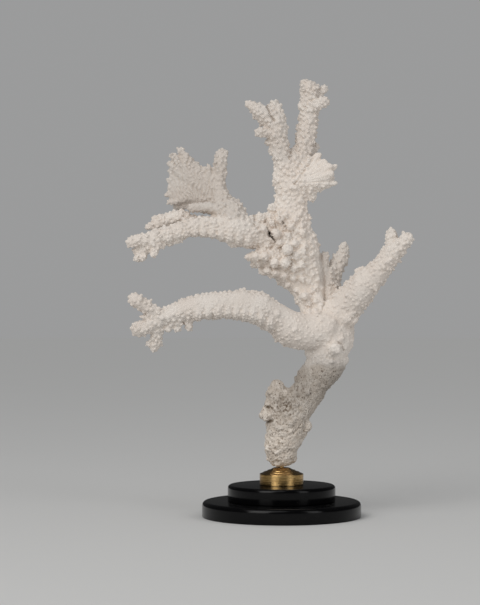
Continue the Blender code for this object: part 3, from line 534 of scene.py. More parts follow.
def reach_from_foot(skin):
    """How far each vertex lies from the foot, along the surface."""
    order = np.argsort(skin.ends, kind="stable")
    others = skin.others[order].tolist()
    starts = np.concatenate(([0], np.cumsum(skin.degree))).tolist()
    lengths = np.linalg.norm(skin.places[skin.ends] - skin.places[skin.others], axis=1)[order].tolist()
    reach = np.where(skin.places[:, 2] < skin.places[:, 2].min() + 2 * MM, 0.0, math.inf).tolist()
    queue = [(0.0, i) for i, far in enumerate(reach) if far == 0]
    while queue:
        far, i = heapq.heappop(queue)
        if far > reach[i]:
            continue
        for k in range(starts[i], starts[i + 1]):
            further = far + lengths[k]
            if further < reach[others[k]]:
                reach[others[k]] = further
                heapq.heappush(queue, (further, others[k]))
    found = np.array(reach)
    found[~np.isfinite(found)] = 0.0
    return found


def growth(skin):
    """The direction along the surface in which the coral grew, towards the tips."""
    reach = reach_from_foot(skin)
    along = skin.places[skin.others] - skin.places[skin.ends]
    length = np.maximum(np.linalg.norm(along, axis=1), 1e-9)
    slope = (reach[skin.others] - reach[skin.ends]) / length
    rise = skin.spread(skin.gathered(along / length[:, None] * slope[:, None]), RISE_ROUNDS)
    return unit(rise - skin.normals * np.sum(rise * skin.normals, axis=1, keepdims=True))


def cad_surface():
    """All coral solids as one search tree, and the node of each of its triangles."""
    corners = []
    triangles = []
    nodes = []
    for index, name in enumerate(CORAL_NODES):
        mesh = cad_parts[name].data
        mesh.calc_loop_triangles()
        start = len(corners)
        corners += [vert.co.copy() for vert in mesh.vertices]
        triangles += [tuple(start + i for i in tri.vertices) for tri in mesh.loop_triangles]
        nodes += [index] * len(mesh.loop_triangles)
    return BVHTree.FromPolygons(corners, triangles), nodes


def nodes_at(skin, surface):
    """The node that each vertex belongs to. Near three forks level and upright cuts are used
    instead of the nearest solid, so that no cut runs through a gap between branches."""
    tree, numbers = surface
    nodes = np.array([numbers[tree.find_nearest(Vector(place))[2]] for place in skin.places.tolist()])
    x, z = skin.x, skin.z
    shared = ((nodes == IN_CROWN) | (nodes == IN_UPPER)) & (x < FORK_LEFT)
    nodes[shared] = np.where((x < UPPER_RIGHT) & (z > UPPER_BOTTOM), IN_UPPER, IN_CROWN)[shared]
    nodes[(nodes == IN_FAN) & (x > FAN_RIGHT)] = IN_UPPER
    behind = (skin.places[:, 1] > REAR_FRONT * MM) & (x > REAR_LEFT) & (z > REAR_BOTTOM)
    nodes[behind & np.isin(nodes, (IN_CROWN, IN_RIGHT_ARM, IN_TRUNK))] = IN_REAR
    nodes[(nodes == IN_REAR) & (x < REAR_LEFT)] = IN_CROWN
    return nodes


def strewn(skin, spacing):
    """Points strewn over the skin, no two nearer than their own spacing.

    Returns the corners and weights of each point, so that any value on the vertices can be
    read at the points."""
    mesh = skin.item.data
    mesh.calc_loop_triangles()
    corners = read(mesh.loop_triangles, "vertices", 3, np.int32)
    a, b, c = (skin.places[corners[:, i]] for i in range(3))
    areas = np.linalg.norm(np.cross(b - a, c - a), axis=1) / 2
    wanted = areas / spacing[corners].mean(axis=1) ** 2
    count = int(wanted.sum() * TRIED)
    chosen = np.searchsorted(np.cumsum(wanted) / wanted.sum(), RNG.random(count))
    corners = corners[np.minimum(chosen, len(areas) - 1)]
    root = np.sqrt(RNG.random(count))
    side = RNG.random(count)
    weights = np.stack((1 - root, root * (1 - side), root * side), axis=1)
    places = at(skin.places, (corners, weights)).tolist()
    tree = KDTree(count)
    for i, place in enumerate(places):
        tree.insert(place, i)
    tree.balance()
    free = np.ones(count, bool)
    kept = []
    for i, gap in enumerate(at(spacing, (corners, weights)).tolist()):
        if free[i]:
            kept.append(i)
            for _, j, _ in tree.find_range(places[i], gap):
                free[j] = False
    return corners[kept], weights[kept]


def at(values, points):
    """A value of the vertices, read at strewn points."""
    corners, weights = points
    if values.ndim == 1:
        return np.einsum("nk,nk->n", weights, values[corners])
    return np.einsum("nk,nkj->nj", weights, values[corners])


def pattern(item):
    """The vertices and triangles of a piece that is modelled once and then planted many times."""
    pick(item)
    mode("EDIT")
    bpy.ops.mesh.select_all(action="SELECT")
    bpy.ops.mesh.quads_convert_to_tris()
    bpy.ops.mesh.normals_make_consistent(inside=False)
    mode("OBJECT")
    verts = np.array([vert.co[:] for vert in item.data.vertices])
    triangles = np.array([face.vertices[:] for face in item.data.polygons])
    bpy.data.objects.remove(item, do_unlink=True)
    return verts, triangles


def select_where(item, test):
    """Selects the faces whose middle and normal pass the test. The object is in edit mode after."""
    pick(item)
    mode("EDIT")
    bpy.ops.mesh.select_all(action="DESELECT")
    mode("OBJECT")
    for face in item.data.polygons:
        face.select = test(face.center, face.normal)
    mode("EDIT")
    bpy.ops.mesh.select_mode(type="FACE")


def extruded(height, across):
    """Extrudes the selected face upwards and scales it sideways."""
    bpy.ops.mesh.extrude_region_move(TRANSFORM_OT_translate={"value": (0, 0, height)})
    bpy.ops.transform.resize(value=(across, across, 1.0))


def corallite():
    """A small tube with a round rim and a cup: one unit in radius, from z -1 to 1."""
    bpy.ops.mesh.primitive_cylinder_add(vertices=9, radius=0.8, depth=2.0)
    cup = bpy.context.active_object
    select_where(cup, lambda centre, normal: normal.z > 0.9)
    bpy.ops.transform.translate(value=(0, 0, -0.5))
    extruded(0.28, 1.22)
    extruded(0.22, 0.72)
    bpy.ops.mesh.inset(thickness=0.18)
    extruded(-0.6, 0.7)
    mode("OBJECT")
    return pattern(cup)


def ball():
    """A round head, one unit in radius."""
    bpy.ops.mesh.primitive_ico_sphere_add(subdivisions=2, radius=1.0)
    return pattern(bpy.context.active_object)


def bead():
    """A rounded stub: one unit in radius, from z -1 to 1, widest near its top."""
    bpy.ops.mesh.primitive_uv_sphere_add(segments=9, ring_count=7, radius=1.0)
    stub = bpy.context.active_object
    select_where(stub, lambda centre, normal: centre.z < -0.1)
    bpy.ops.transform.resize(value=(0.75, 0.75, 1.0))
    mode("OBJECT")
    return pattern(stub)


def planted(name, shape, places, ahead, sizes):
    """Copies of a pattern, one at each place, turned to point ahead, as one object.

    A size is the width's radius and the height."""
    verts, triangles = shape
    count = len(places)
    across = unit(np.cross(ahead, unit(RNG.normal(size=(count, 3)))))
    third = np.cross(ahead, across)
    wide, high = sizes[:, :1], sizes[:, 1:]
    grown = (
        places[:, None]
        + verts[:, :1] * (across * wide)[:, None]
        + verts[:, 1:2] * (third * wide)[:, None]
        + verts[:, 2:] * (ahead * high)[:, None]
    )
    corners = (triangles + (np.arange(count) * len(verts))[:, None, None]).reshape(-1, 3)
    return mesh_from_triangles(name, grown.reshape(-1, 3), corners)


def wander(places, size, rng, waves=10):
    """A smooth random field between about -1 and 1, with features of about this size."""
    total = np.zeros(len(places))
    for _ in range(waves):
        direction = rng.normal(size=3)
        direction *= math.tau / size / np.linalg.norm(direction) * rng.uniform(0.6, 1.4)
        total += np.sin(places @ direction + rng.uniform(0, math.tau))
    return total / math.sqrt(waves / 2) / 1.6


def ragged(skin):
    """The field that bends the ledge between the worn and the fresh trunk."""
    return wander(skin.places, 14 * MM, np.random.default_rng(SEED))


def plant(skin, name, spacing, chance, width, height, lean, shapes):
    """Strews one kind of growth over the skin. All but the shapes are values on its vertices."""
    points = strewn(skin, spacing)
    stays = RNG.random(len(points[0])) < at(chance, points)
    points = (points[0][stays], points[1][stays])
    places = at(skin.places, points)
    normals = unit(at(skin.normals, points))
    ahead = unit(normals + unit(at(growth(skin), points)) * at(lean, points)[:, None])
    ahead = unit(ahead + RNG.normal(scale=LEAN_SCATTER, size=ahead.shape))
    wide = at(width, points) * RNG.uniform(*WIDTH_RANGE, len(places))
    high = at(height, points) * RNG.uniform(*HEIGHT_RANGE, len(places))
    # a pattern reaches one height above its middle, and its root lies well under the skin
    half = (high + wide) / 2
    centres = places + ahead * (high - half)[:, None]
    sizes = np.stack((wide, half), axis=1)
    kind = RNG.integers(len(shapes), size=len(places))
    made = []
    for index, shape in enumerate(shapes):
        chosen = kind == index
        made.append(planted(f"{name}_{index}", shape, centres[chosen], ahead[chosen], sizes[chosen]))
    return made


def heads(skin):
    """The measured popcorn heads on the front of the crown, and how near each vertex is to one."""
    front = skin.normals[:, 1] < -0.15
    places, ahead, sizes = [], [], []
    near = np.zeros(skin.count)
    for head_x, head_z, radius in HEADS:
        far = np.hypot(skin.x - head_x, skin.z - head_z)
        near = np.maximum(near, ramp(radius + 2.5, radius - 0.5, far))
        seen = np.nonzero((far < 1.2) & front)[0]
        foremost = seen[np.argmin(skin.places[seen, 1])]
        towards = skin.normals[foremost] + (0, -0.6, 0.15)
        towards /= np.linalg.norm(towards)
        places.append(skin.places[foremost] + towards * 0.5 * radius * MM)
        ahead.append(towards)
        sizes.append((radius * MM, radius * MM))
    return planted("heads", ball(), np.array(places), np.array(ahead), np.array(sizes)), near * front


def web_plate():
    """The thin web between the fan's ribs."""
    bm = bmesh.new()
    front, back = (
        [bm.verts.new(place[:3]) for place in at_depth([(x, depth, z, 0) for x, z in FAN_WEB])]
        for depth in FAN_WEB_DEPTH
    )
    bm.faces.new(front)
    bm.faces.new(back)
    for wall in zip(front, front[1:] + front[:1], back[1:] + back[:1], back):
        bm.faces.new(wall)
    bmesh.ops.recalc_face_normals(bm, faces=bm.faces)
    bmesh.ops.triangulate(bm, faces=bm.faces)
    mesh = bpy.data.meshes.new("fan_web")
    bm.to_mesh(mesh)
    bm.free()
    return new_object("fan_web", mesh)


def hanging(stations, rows, radius):
    """Lobes that wrap a branch's lower front, one at each x."""
    path = smooth_path(np.array(stations, float))
    order = np.argsort(path[:, 0])
    found = []
    for x in rows:
        y, z, wide = (np.interp(x, path[order, 0], path[order, k]) for k in (1, 2, 3))
        lobe = []
        for angle, inside, share in LOBE_STATIONS:
            turn = math.radians(angle)
            reach = wide - inside
            lobe.append((x, y - math.cos(turn) * reach, z - math.sin(turn) * reach, radius * share))
        found.append(lobe)
    return found


def coral_body():
    """The coral's plain form: every branch, fused and softened."""
    long_ones = (LOWER_LEFT_ARM, RIGHT_ARM, RIGHT_ARM_LOBE, CROWN_LEFT_BRANCH, CROWN_RIGHT_BRANCH)
    long_ones += (UPPER_LEFT_BRANCH, UPPER_LEFT_REAR_STRAND, FAN_SHOULDER, FAN_FINGER)
    long_ones += LOWER_LEFT_TIPS + RIGHT_TIPS + CROWN_LEFT_TIPS
    short_ones = CROWN_SPIKES + CROWN_RIGHT_TIPS + UPPER_LEFT_SPURS + FAN_SPURS
    short_ones += ARM_BRANCHLETS + RIGHT_ARM_BRANCHLETS + CROWN_LUMPS + TOP_KNOBS
    stub_ribs = [(STUB_ROOT, end) for end in (STUB_MIDDLE, *STUB_ENDS)]
    fan_ribs = [(FAN_ROOT, end) for end in FAN_ENDS]
    lobes = hanging(LOWER_LEFT_ARM, ARM_LOBES, 4.7) + hanging(UPPER_LEFT_BRANCH, UPPER_LEFT_LOBES, 4.3)
    made = [
        branches("worn_trunk", (TRUNK, STUMP, STUMP_SHELF, *TRUNK_KNOBS), thinner=0.4 * MM),
        branches("long_branches", long_ones),
        branches("rear_branches", (REAR_BRANCH, CROWN_REAR_LOBE, REAR_WEB), 0.7, 0.8 * MM),
        branches("crown_blade", (CROWN,), 0.62),
        branches("short_branches", short_ones, thinner=1.1 * MM),
        branches("lobes", lobes, thinner=0.4 * MM),
        branches("stub_ribs", stub_ribs, thinner=0.7 * MM),
        branches("fan_ribs", fan_ribs, 0.7, 1.0 * MM),
        web_plate(),
    ]
    return fused(made, BODY_VOXEL, 3)


def branch_radius(skin):
    """The radius of the branch at each vertex."""
    tree = KDTree(len(AXES))
    for i, (*place, _) in enumerate(AXES):
        tree.insert(place, i)
    tree.balance()
    found = []
    for place in skin.places.tolist():
        near = [(abs(far - AXES[i][3]), AXES[i][3]) for _, i, far in tree.find_n(place, 6)]
        found.append(min(near)[1])
    return skin.spread(np.array(found), RADIUS_ROUNDS)


def regions(skin):
    """Shares from 0 to 1: worn, plain, with popcorn, with a fringe, and worn but even."""
    x, z = skin.x, skin.z
    side, ahead, up = skin.normals[:, 0], -skin.normals[:, 1], skin.normals[:, 2]
    trunk, arm, right_arm, _, crown, _, _, stub, upper, fan = (
        (skin.nodes == index) * 1.0 for index in range(len(CORAL_NODES))
    )
    # the trunk is worn below a ragged ledge
    worn = trunk * ramp(1.5, -8, skin.places[:, 2] / MM - LEDGE - 2 * ragged(skin))
    # the arm's upper front is nearly smooth, and so are the knuckle and the middle of the right arm
    band = arm * ramp(-0.05, 0.15, up) * ramp(0.9, 0.78, up) * ramp(-0.1, 0.2, ahead)
    band *= ramp(-118, -106, x)
    knuckle = (arm + trunk) * ramp(-8, 6, x) * ramp(212, 203, z)
    middle = right_arm * ramp(0.3, 0.8, ahead) * ramp(246, 228, z)
    # the crown's right edge is a smooth ridge
    beyond = x - beside(CROWN, z, 1)
    ridge = crown * ramp(-8, -6, beyond) * ramp(5, 2, beyond) * ramp(0.0, 0.4, ahead + side * 0.5)
    ridge *= ramp(198, 206, z) * ramp(260, 248, z)
    foot = crown * ramp(240, 224, z)
    flat = stub * ramp(313, 321, z)
    web = fan * ramp(0.3, 0.7, np.abs(ahead)) * ramp(338, 331, z) * (x < -62)
    parts = (0.9 * band, 0.75 * knuckle, 0.65 * middle, ridge, 0.4 * foot, 0.9 * flat, 0.6 * web)
    plain = np.maximum.reduce(parts) * (1 - worn)
    popcorn = crown * ramp(-8, -12, beyond) * ramp(-0.3, 0.2, ahead) * ramp(302, 292, z)
    popcorn *= 0.35 + 0.65 * ramp(222, 240, z)
    fringe = arm * ramp(-0.05, -0.5, up) * ramp(-8, -18, x)
    fringe += upper * ramp(-0.1, -0.5, up) * ramp(-30, -40, x)
    # the worn trunk's right side and upper part have fine grains only
    even = worn * np.maximum(ramp(-2, 6, x - beside(TRUNK, z, 0)), ramp(118, 128, z))
    return worn, plain, popcorn, fringe, even


def grown_coral():
    """The coral's whole skin, one closed mesh with all that grows on it."""
    surface = cad_surface()
    body = coral_body()
    stub = bead()

    # Popcorn lumps and branchlets
    skin = Skin(body, surface)
    worn, plain, popcorn, fringe, even = regions(skin)
    large, near = heads(skin)
    chance = (0.6 + 0.4 * popcorn) * (1 - 0.8 * fringe) * (1 - 0.9 * plain) * (1 - 0.95 * even)
    chance *= ramp(5 * MM, THICK, branch_radius(skin)) * (1 - near)
    spacing = 6.2 + 0.6 * fringe - 0.8 * worn
    width = 2.9 + 0.5 * popcorn + 0.2 * worn
    height = 1.7 + 1.4 * popcorn + 0.4 * fringe
    lean = 0.2 + 0.1 * fringe - 0.2 * worn
    lumps = plant(skin, "lumps", spacing * MM, chance, width * MM, height * MM, lean, [stub])
    body = fused([body, large, *lumps], BODY_VOXEL, 1)

    # Nubs and cups
    skin = Skin(body, surface)
    worn, plain, popcorn, _, even = regions(skin)
    small = np.clip(branch_radius(skin) / THICK, 0.7, 1) * (1 - 0.25 * popcorn) * MM
    chance = (1 - 0.5 * plain) * (1 - 0.1 * worn)
    spacing = (3.8 - plain - 1.3 * worn) * small
    width = (1.8 - 0.5 * plain - 0.4 * worn - 0.2 * even) * small
    height = (1.7 - 1.2 * plain - 0.9 * worn - 0.3 * even) * small
    shapes = [stub, stub, stub, corallite()]
    nubs = plant(skin, "nubs", spacing, chance, width, height, 0.18 - 0.1 * worn, shapes)
    return Skin(fused([body, *nubs], SKIN_VOXEL, 2), surface)


def rays(skin, x, z, count, waver):
    """Fine ribs that spread from a place, as heights from -1 to 1."""
    return np.sin(np.arctan2(skin.z - z, skin.x - x) * count + waver)


def marked(skin):
    """Ribs the stub and the fan, pits the worn trunk, and stores the values that the material
    reads. Returns the node that each vertex goes to when the skin is parted."""
    worn, *_ = regions(skin)
    stub_x, _, stub_z, _ = STUB_ROOT
    waver = 1.2 * wander(skin.places, 12 * MM, RNG)
    striae = rays(skin, stub_x, stub_z, STUB_RIB_COUNT, waver) * (skin.nodes == IN_STUB)
    ribbed = 0.25 * striae * ramp(12, 20, np.hypot(skin.x - stub_x, skin.z - stub_z))
    striae = rays(skin, *FAN_PIVOT, FAN_RIB_COUNT, 2 * waver) * (skin.nodes == IN_FAN)
    ribbed += 0.4 * striae * ramp(298, 306, skin.z) * (skin.x < -64)
    worms = np.exp(-((wander(skin.places, 2.4 * MM, RNG, 26) / 0.22) ** 2))
    coarse = wander(skin.places, 7 * MM, RNG, 16)
    eroded = worn * (0.3 * coarse - 0.4 * worms - 0.2)
    deep, sunk = carved(skin)
    offsets = skin.normals * (ribbed + eroded - pits(skin, worn))[:, None] * MM
    offsets[:, 1] += sunk * MM
    offsets[:, 2] = np.maximum(offsets[:, 2], FOOT_BOTTOM - skin.places[:, 2])
    skin.move(offsets)
    raised = skin.places - skin.spread(skin.places, PROUD_ROUNDS)
    proud = np.sum(raised * skin.normals, axis=1) / MM
    for name, values in (("proud", proud), ("worn", worn), ("deep", deep), ("tint", tone_and_painted_shade(skin))):
        skin.keep(name, values)
    votes = (skin.nodes[:, None] == np.arange(len(CORAL_NODES))).astype(float)
    return np.argmax(skin.spread(votes, NODE_ROUNDS), axis=1)


def carved(skin):
    """How dark the painted shade in the creases of the front is at each vertex, from 0 to 1, and how far it
    sinks.
    """
    facing = ramp(0.0, 0.35, -skin.normals[:, 1])
    waver = 0.6 * wander(skin.places, 3 * MM, RNG)
    deep = np.zeros(skin.count)
    sunk = np.zeros(skin.count)
    for width, depth, darkness, line in CREASES:
        for start, end in zip(line, line[1:]):
            step = np.subtract(end, start)
            x, z = skin.x - start[0], skin.z - start[1]
            share = np.clip((x * step[0] + z * step[1]) / (step @ step), 0, 1)
            far = np.hypot(x - share * step[0], z - share * step[1])
            inside = np.exp(-((np.maximum(far + waver, 0) / width) ** 2)) * facing * (far < 3 * width)
            sunk = np.maximum(sunk, inside * depth)
            deep = np.maximum(deep, inside * darkness)
    return deep, sunk


def pits(skin, worn):
    """How deep each vertex lies in the pores that are strewn over the worn trunk."""
    old = np.nonzero(worn > 0.75)[0]
    centres = RNG.choice(old, PIT_COUNT, replace=False)
    radii = RNG.uniform(0.65, 0.9, PIT_COUNT) ** 2
    sunk = np.zeros(skin.count)
    for centre, radius in zip(centres, radii):
        far = np.linalg.norm(skin.places[old] - skin.places[centre], axis=1) / MM
        sunk[old] = np.maximum(sunk[old], 0.8 * radius * ramp(radius, 0.3 * radius, far))
    return sunk


def tone_and_painted_shade(skin):
    """How light each place is, next to the lightest skin: each node's tone and the worn trunk's tone, with
    painted shade on the rear branch, the fan, the knuckle's right side and the trunk under the knuckle.
    """
    x, z, nodes = skin.x, skin.z, skin.nodes

    def spot(middle_x, middle_z, wide, high):
        return np.exp(-(((x - middle_x) / wide) ** 2) - ((z - middle_z) / high) ** 2)

    worn_tone_and_shadow = 0.76 + 0.3 * ramp(94, 70, z) + 0.06 * ramp(20, 34, x)
    worn_tone_and_shadow += 0.2 * spot(-15, 98, 5, 5) - 0.12 * spot(4, 108, 9, 8)
    # painted shadow under the knuckle: the trunk's upper right is darker from z 100 mm up, and near the
    # ledge it darkens to 0.65
    worn_tone_and_shadow -= 0.21 * ramp(100, 118, z) * ramp(4, 16, x)
    worn_tone_and_shadow += (0.65 - worn_tone_and_shadow) * ramp(134, 147, z)
    tint = np.array(NODE_TONE_AND_SHADE)[nodes]
    tint += 0.05 * (nodes == IN_ARM) * ramp(-20, 0, x)
    tint[(nodes == IN_CROWN) & (x > 36) & (z > 220)] = 0.84
    # painted shade on the trunk just above the ledge, under the knuckle
    tint -= 0.22 * (nodes == IN_TRUNK) * ramp(166, 146, z) * ramp(56, 48, x)
    shade = spot(56, 180, 7, 11) + spot(33, 160, 8, 5)
    tint -= 0.14 * shade * (skin.normals[:, 1] < 0.1)
    low = (nodes == IN_TRUNK) * ramp(154, 140, z - 3 * ragged(skin))
    return skin.spread(tint + (worn_tone_and_shadow - tint) * low, TINT_ROUNDS)


def closed(item, tree):
    """Closes each cut of a piece with rings of faces that lie under the coral's skin.

    The tree is that of the whole skin. From each vertex of the rim a row of points runs to the
    hub, and points that would come out of the skin are moved back under it."""

    def under(point):
        nearest, normal, _, _ = tree.find_nearest(point)
        if (point - nearest).dot(normal) > -CAP_MARGIN:
            return nearest - normal * CAP_MARGIN
        return point

    def mean(vectors):
        return sum(vectors, Vector()) / max(len(vectors), 1)

    bm = bmesh.new()
    bm.from_mesh(item.data)
    left = dict.fromkeys(edge for edge in bm.edges if edge.is_boundary)
    while left:
        rim = [left.popitem()[0]]
        for edge in rim:
            for vert in edge.verts:
                for other in vert.link_edges:
                    if other in left:
                        del left[other]
                        rim.append(other)
        verts = dict.fromkeys(vert for edge in rim for vert in edge.verts)
        around = dict.fromkeys(edge.other_vert(vert) for vert in verts for edge in vert.link_edges)
        middle = mean([vert.co for vert in verts])
        outward = mean([vert.normal for vert in verts])
        step = sum(edge.calc_length() for edge in rim) / len(rim)
        size = sum((vert.co - middle).length for vert in verts) / len(verts)
        along = (mean([vert.co for vert in around if vert not in verts]) - middle) / step
        depth = min(max(size / 2, 0.4 * MM), CAP_DEPTH)
        hub = bm.verts.new(under(middle + (along - outward).normalized() * depth), rim[0].verts[0])
        rings = [{vert: vert for vert in verts}]
        for share in CAP_RINGS:
            ring = {}
            for vert in verts:
                start = vert.co - vert.normal * min(CAP_MARGIN, 0.3 * size)
                ring[vert] = bm.verts.new(under(start.lerp(hub.co, share)), vert)
            rings.append(ring)
        for edge in rim:
            edge.smooth = False
            corner = edge.link_loops[0]
            a, b = corner.link_loop_next.vert, corner.vert
            for outer, inner in zip(rings, rings[1:]):
                bm.faces.new((outer[a], outer[b], inner[b], inner[a])).smooth = False
            bm.faces.new((rings[-1][a], rings[-1][b], hub)).smooth = False
    bm.to_mesh(item.data)
    bm.free()


def parted(body, nodes):
    """The skin as one piece for each CAD node, closed where it was parted."""
    mesh = body.data
    loops = read(mesh.loops, "vertex_index", 1, np.int32)
    starts = read(mesh.polygons, "loop_start", 1, np.int32)
    mesh.materials.clear()
    for name in CORAL_NODES:
        mesh.materials.append(bpy.data.materials.new("owner_" + name))
    mesh.polygons.foreach_set("material_index", nodes[loops[starts]].astype(np.int32).ravel())
    mesh.polygons.foreach_set("use_smooth", np.ones(len(starts), bool))
    whole = bmesh.new()
    whole.from_mesh(mesh)
    tree = BVHTree.FromBMesh(whole)
    whole.free()
    pick(body)
    mode("EDIT")
    bpy.ops.mesh.select_all(action="SELECT")
    bpy.ops.mesh.separate(type="MATERIAL")
    mode("OBJECT")
    made = {}
    for item in list(bpy.context.selected_objects):
        owner = item.data.materials[item.data.polygons[0].material_index].name
        name = owner.removeprefix("owner_")
        item.name = name + "_skin"
        closed(item, tree)
        made[name] = item
    return made


# Materials


class Socket:
    """An output socket. Arithmetic on it adds Math nodes, and node() adds any other node."""

    def __init__(self, tree, out=None):
        self.tree = tree
        self.out = out

    def node(self, kind, values=None, settings=None, out=0):
        made = self.tree.nodes.new(kind)
        for key, value in (settings or {}).items():
            setattr(made, key, value)
        for key, value in (values or {}).items():
            if isinstance(value, Socket):
                self.tree.links.new(value.out, made.inputs[key])
            else:
                made.inputs[key].default_value = value
        return Socket(self.tree, made.outputs[out])

    def math(self, operation, first, second):
        return self.node("ShaderNodeMath", {0: first, 1: second}, {"operation": operation})

    def __add__(self, other):
        return self.math("ADD", self, other)

    def __mul__(self, other):
        return self.math("MULTIPLY", self, other)

    def __sub__(self, other):
        return self.math("SUBTRACT", self, other)

    def __rsub__(self, other):
        return self.math("SUBTRACT", other, self)

    __radd__ = __add__
    __rmul__ = __mul__

    def near(self, place, reach):
        """1 at a place, 0 beyond its reach."""
        away = self.node("ShaderNodeVectorMath", {0: self, 1: place}, {"operation": "DISTANCE"}, out=1)
        return 1 - away.between(0.3 * reach, reach)

    def between(self, low, high):
        """0 below low, 1 above high, smooth in between."""
        values = {"Value": self, "From Min": low, "From Max": high}
        return self.node("ShaderNodeMapRange", values, {"interpolation_type": "SMOOTHSTEP"})


def mixed(share, first, second):
    """A colour between two colours."""
    return share.node("ShaderNodeMix", {0: share, 6: first, 7: second}, {"data_type": "RGBA"}, out=2)


def linear(*srgb):
    """A colour from its values of 0 to 255 in a picture."""
    parts = [value / 255 for value in srgb]
    return (*[p / 12.92 if p <= 0.04045 else ((p + 0.055) / 1.055) ** 2.4 for p in parts], 1.0)


def started(name, **constants):
    """A new material, its tree's Object coordinates and its shader with constant sockets set."""
    made = bpy.data.materials.new(name)
    made.use_nodes = True
    shader = made.node_tree.nodes["Principled BSDF"]
    for key, value in constants.items():
        shader.inputs[key.replace("_", " ")].default_value = value
    where = Socket(made.node_tree).node("ShaderNodeTexCoord", out=3)
    return made, where, shader


def connect(shader, **links):
    for key, socket in links.items():
        socket.tree.links.new(socket.out, shader.inputs[key.replace("_", " ")])


def attribute(where, name):
    return where.node("ShaderNodeAttribute", settings={"attribute_name": name}, out=2)


def noise(where, scale, detail=2.0, roughness=0.5):
    values = {"Vector": where, "Scale": scale, "Detail": detail, "Roughness": roughness}
    return where.node("ShaderNodeTexNoise", values)


def bump(where, height, distance, strength):
    return where.node("ShaderNodeBump", {"Height": height, "Distance": distance, "Strength": strength})


def coral_material():
    made, where, shader = started("coral_skeleton", Roughness=0.85, Specular_IOR_Level=0.25)
    worn = attribute(where, "worn")
    broad = noise(where, 30.0)
    middling = noise(where, 160.0, 3.0)
    fine = noise(where, 900.0, 3.0, 0.6)
    grains = where.node("ShaderNodeTexVoronoi", {"Vector": where, "Scale": 620.0})
    # painted shade: the skin is darker in its hollows, where it lies under its smoothed surface, browner
    # and stronger on the worn trunk
    painted_hollow_shade = 1 - (attribute(where, "proud") + (middling - 0.5) * 0.5).between(-0.75, 0.15)
    fresh = mixed(broad.between(0.35, 0.65), linear(239, 231, 223), linear(233, 223, 214))
    fresh = mixed(painted_hollow_shade * 0.6, fresh, linear(214, 200, 186))
    old = mixed(middling.between(0.35, 0.65), linear(240, 230, 219), linear(224, 212, 199))
    old = mixed(painted_hollow_shade, old, linear(142, 126, 109))
    specks = noise(where, 520.0, 1.0).between(0.665, 0.71)
    old = mixed(specks * 0.75, old, linear(104, 80, 66))
    stain = where.near(STAIN, 11 * MM) * noise(where, 340.0, 1.0).between(0.42, 0.58)
    old = mixed(stain * 0.85, old, linear(112, 90, 64))
    old = mixed(where.near(PINK_SPOT, 1.3 * MM) * 0.8, old, linear(150, 40, 60))
    colour = mixed(worn, fresh, old)
    colour = mixed((1 - fine.between(0.3, 0.55)) * 0.2, colour, linear(170, 155, 138))
    # darkened by the tint: each node's tone, with painted shade on the rear branch, the fan, the knuckle
    # and the trunk under it
    colour = mixed(1 - attribute(where, "tint"), colour, linear(0, 0, 0))
    # painted shade in the creases between branches
    colour = mixed(attribute(where, "deep").between(0.0, 1.0), colour, linear(62, 50, 40))
    height = (fine * 0.35 + (1 - grains.between(0.1, 0.7)) * 0.65) * (1 + worn * 0.8)
    connect(shader, Base_Color=colour, Normal=bump(where, height, 0.4 * MM, 0.6))
    return made


def lacquer_material():
    made, where, shader = started("black_lacquer", Specular_IOR_Level=0.2)
    broad = noise(where, 18.0)
    dust = noise(where, 1500.0)
    colour = mixed(dust.between(0.62, 0.78), linear(6, 6, 7), linear(34, 33, 32))
    rough = 0.1 + broad * 0.12
    connect(shader, Base_Color=colour, Roughness=rough, Normal=bump(where, broad, 0.1 * MM, 0.3))
    return made


def brass_material():
    made, where, shader = started("aged_brass", Metallic=1.0)
    broad = noise(where, 90.0, 3.0)
    turning = noise(where.node("ShaderNodeMapping", {"Vector": where, "Scale": (6.0, 6.0, 2600.0)}), 1.0)
    colour = mixed(broad.between(0.35, 0.7), linear(214, 178, 120), linear(176, 142, 88))
    rough = 0.14 + broad * 0.1
    connect(shader, Base_Color=colour, Roughness=rough, Normal=bump(where, turning, 0.25 * MM, 0.7))
    return made


# The stand


def turned_disc(name, lengths):
    """A disc of the base with a rounded top edge."""
    radius, bottom, top, rounding = (length * MM for length in lengths)
    bpy.ops.mesh.primitive_cylinder_add(vertices=TURNED_SIDES, radius=radius, depth=top - bottom)
    disc = added(name)
    select_where(disc, lambda centre, normal: normal.z > 0.9)
    bpy.ops.mesh.bevel(offset=rounding, segments=7, profile=0.5)
    mode("OBJECT")
    select_where(disc, lambda centre, normal: normal.z < -0.9)
    bpy.ops.mesh.bevel(offset=0.6 * MM, segments=2, profile=0.5)
    return rounded_off(disc, (bottom + top) / 2)


def turned_ferrule():
    """The brass mount: a short wall, stepped rings and the pin's bore."""
    (radius, foot), (_, wall) = FERRULE_PROFILE[:2]
    depth = (wall - foot) * MM
    bpy.ops.mesh.primitive_cylinder_add(vertices=TURNED_SIDES, radius=radius * MM, depth=depth)
    ferrule = added("turned_ferrule")
    select_where(ferrule, lambda centre, normal: normal.z > 0.9)
    for (radius, height), (further, higher) in zip(FERRULE_PROFILE[1:], FERRULE_PROFILE[2:]):
        extruded((higher - height) * MM, further / radius)
    return rounded_off(ferrule, (foot + wall) / 2 * MM)


def rounded_off(item, height):
    """Lifts a turned piece and leaves edit mode, with faces outward and only real edges sharp."""
    bpy.ops.mesh.select_all(action="SELECT")
    bpy.ops.transform.translate(value=(0, 0, height))
    bpy.ops.mesh.normals_make_consistent(inside=False)
    mode("OBJECT")
    pick(item)
    bpy.ops.object.shade_smooth_by_angle(angle=math.radians(32))
    return item


def place_piece(item, finish, node):
    item.data.materials.clear()
    item.data.materials.append(finish)
    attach(item, "root")
    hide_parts(node)


# The setting


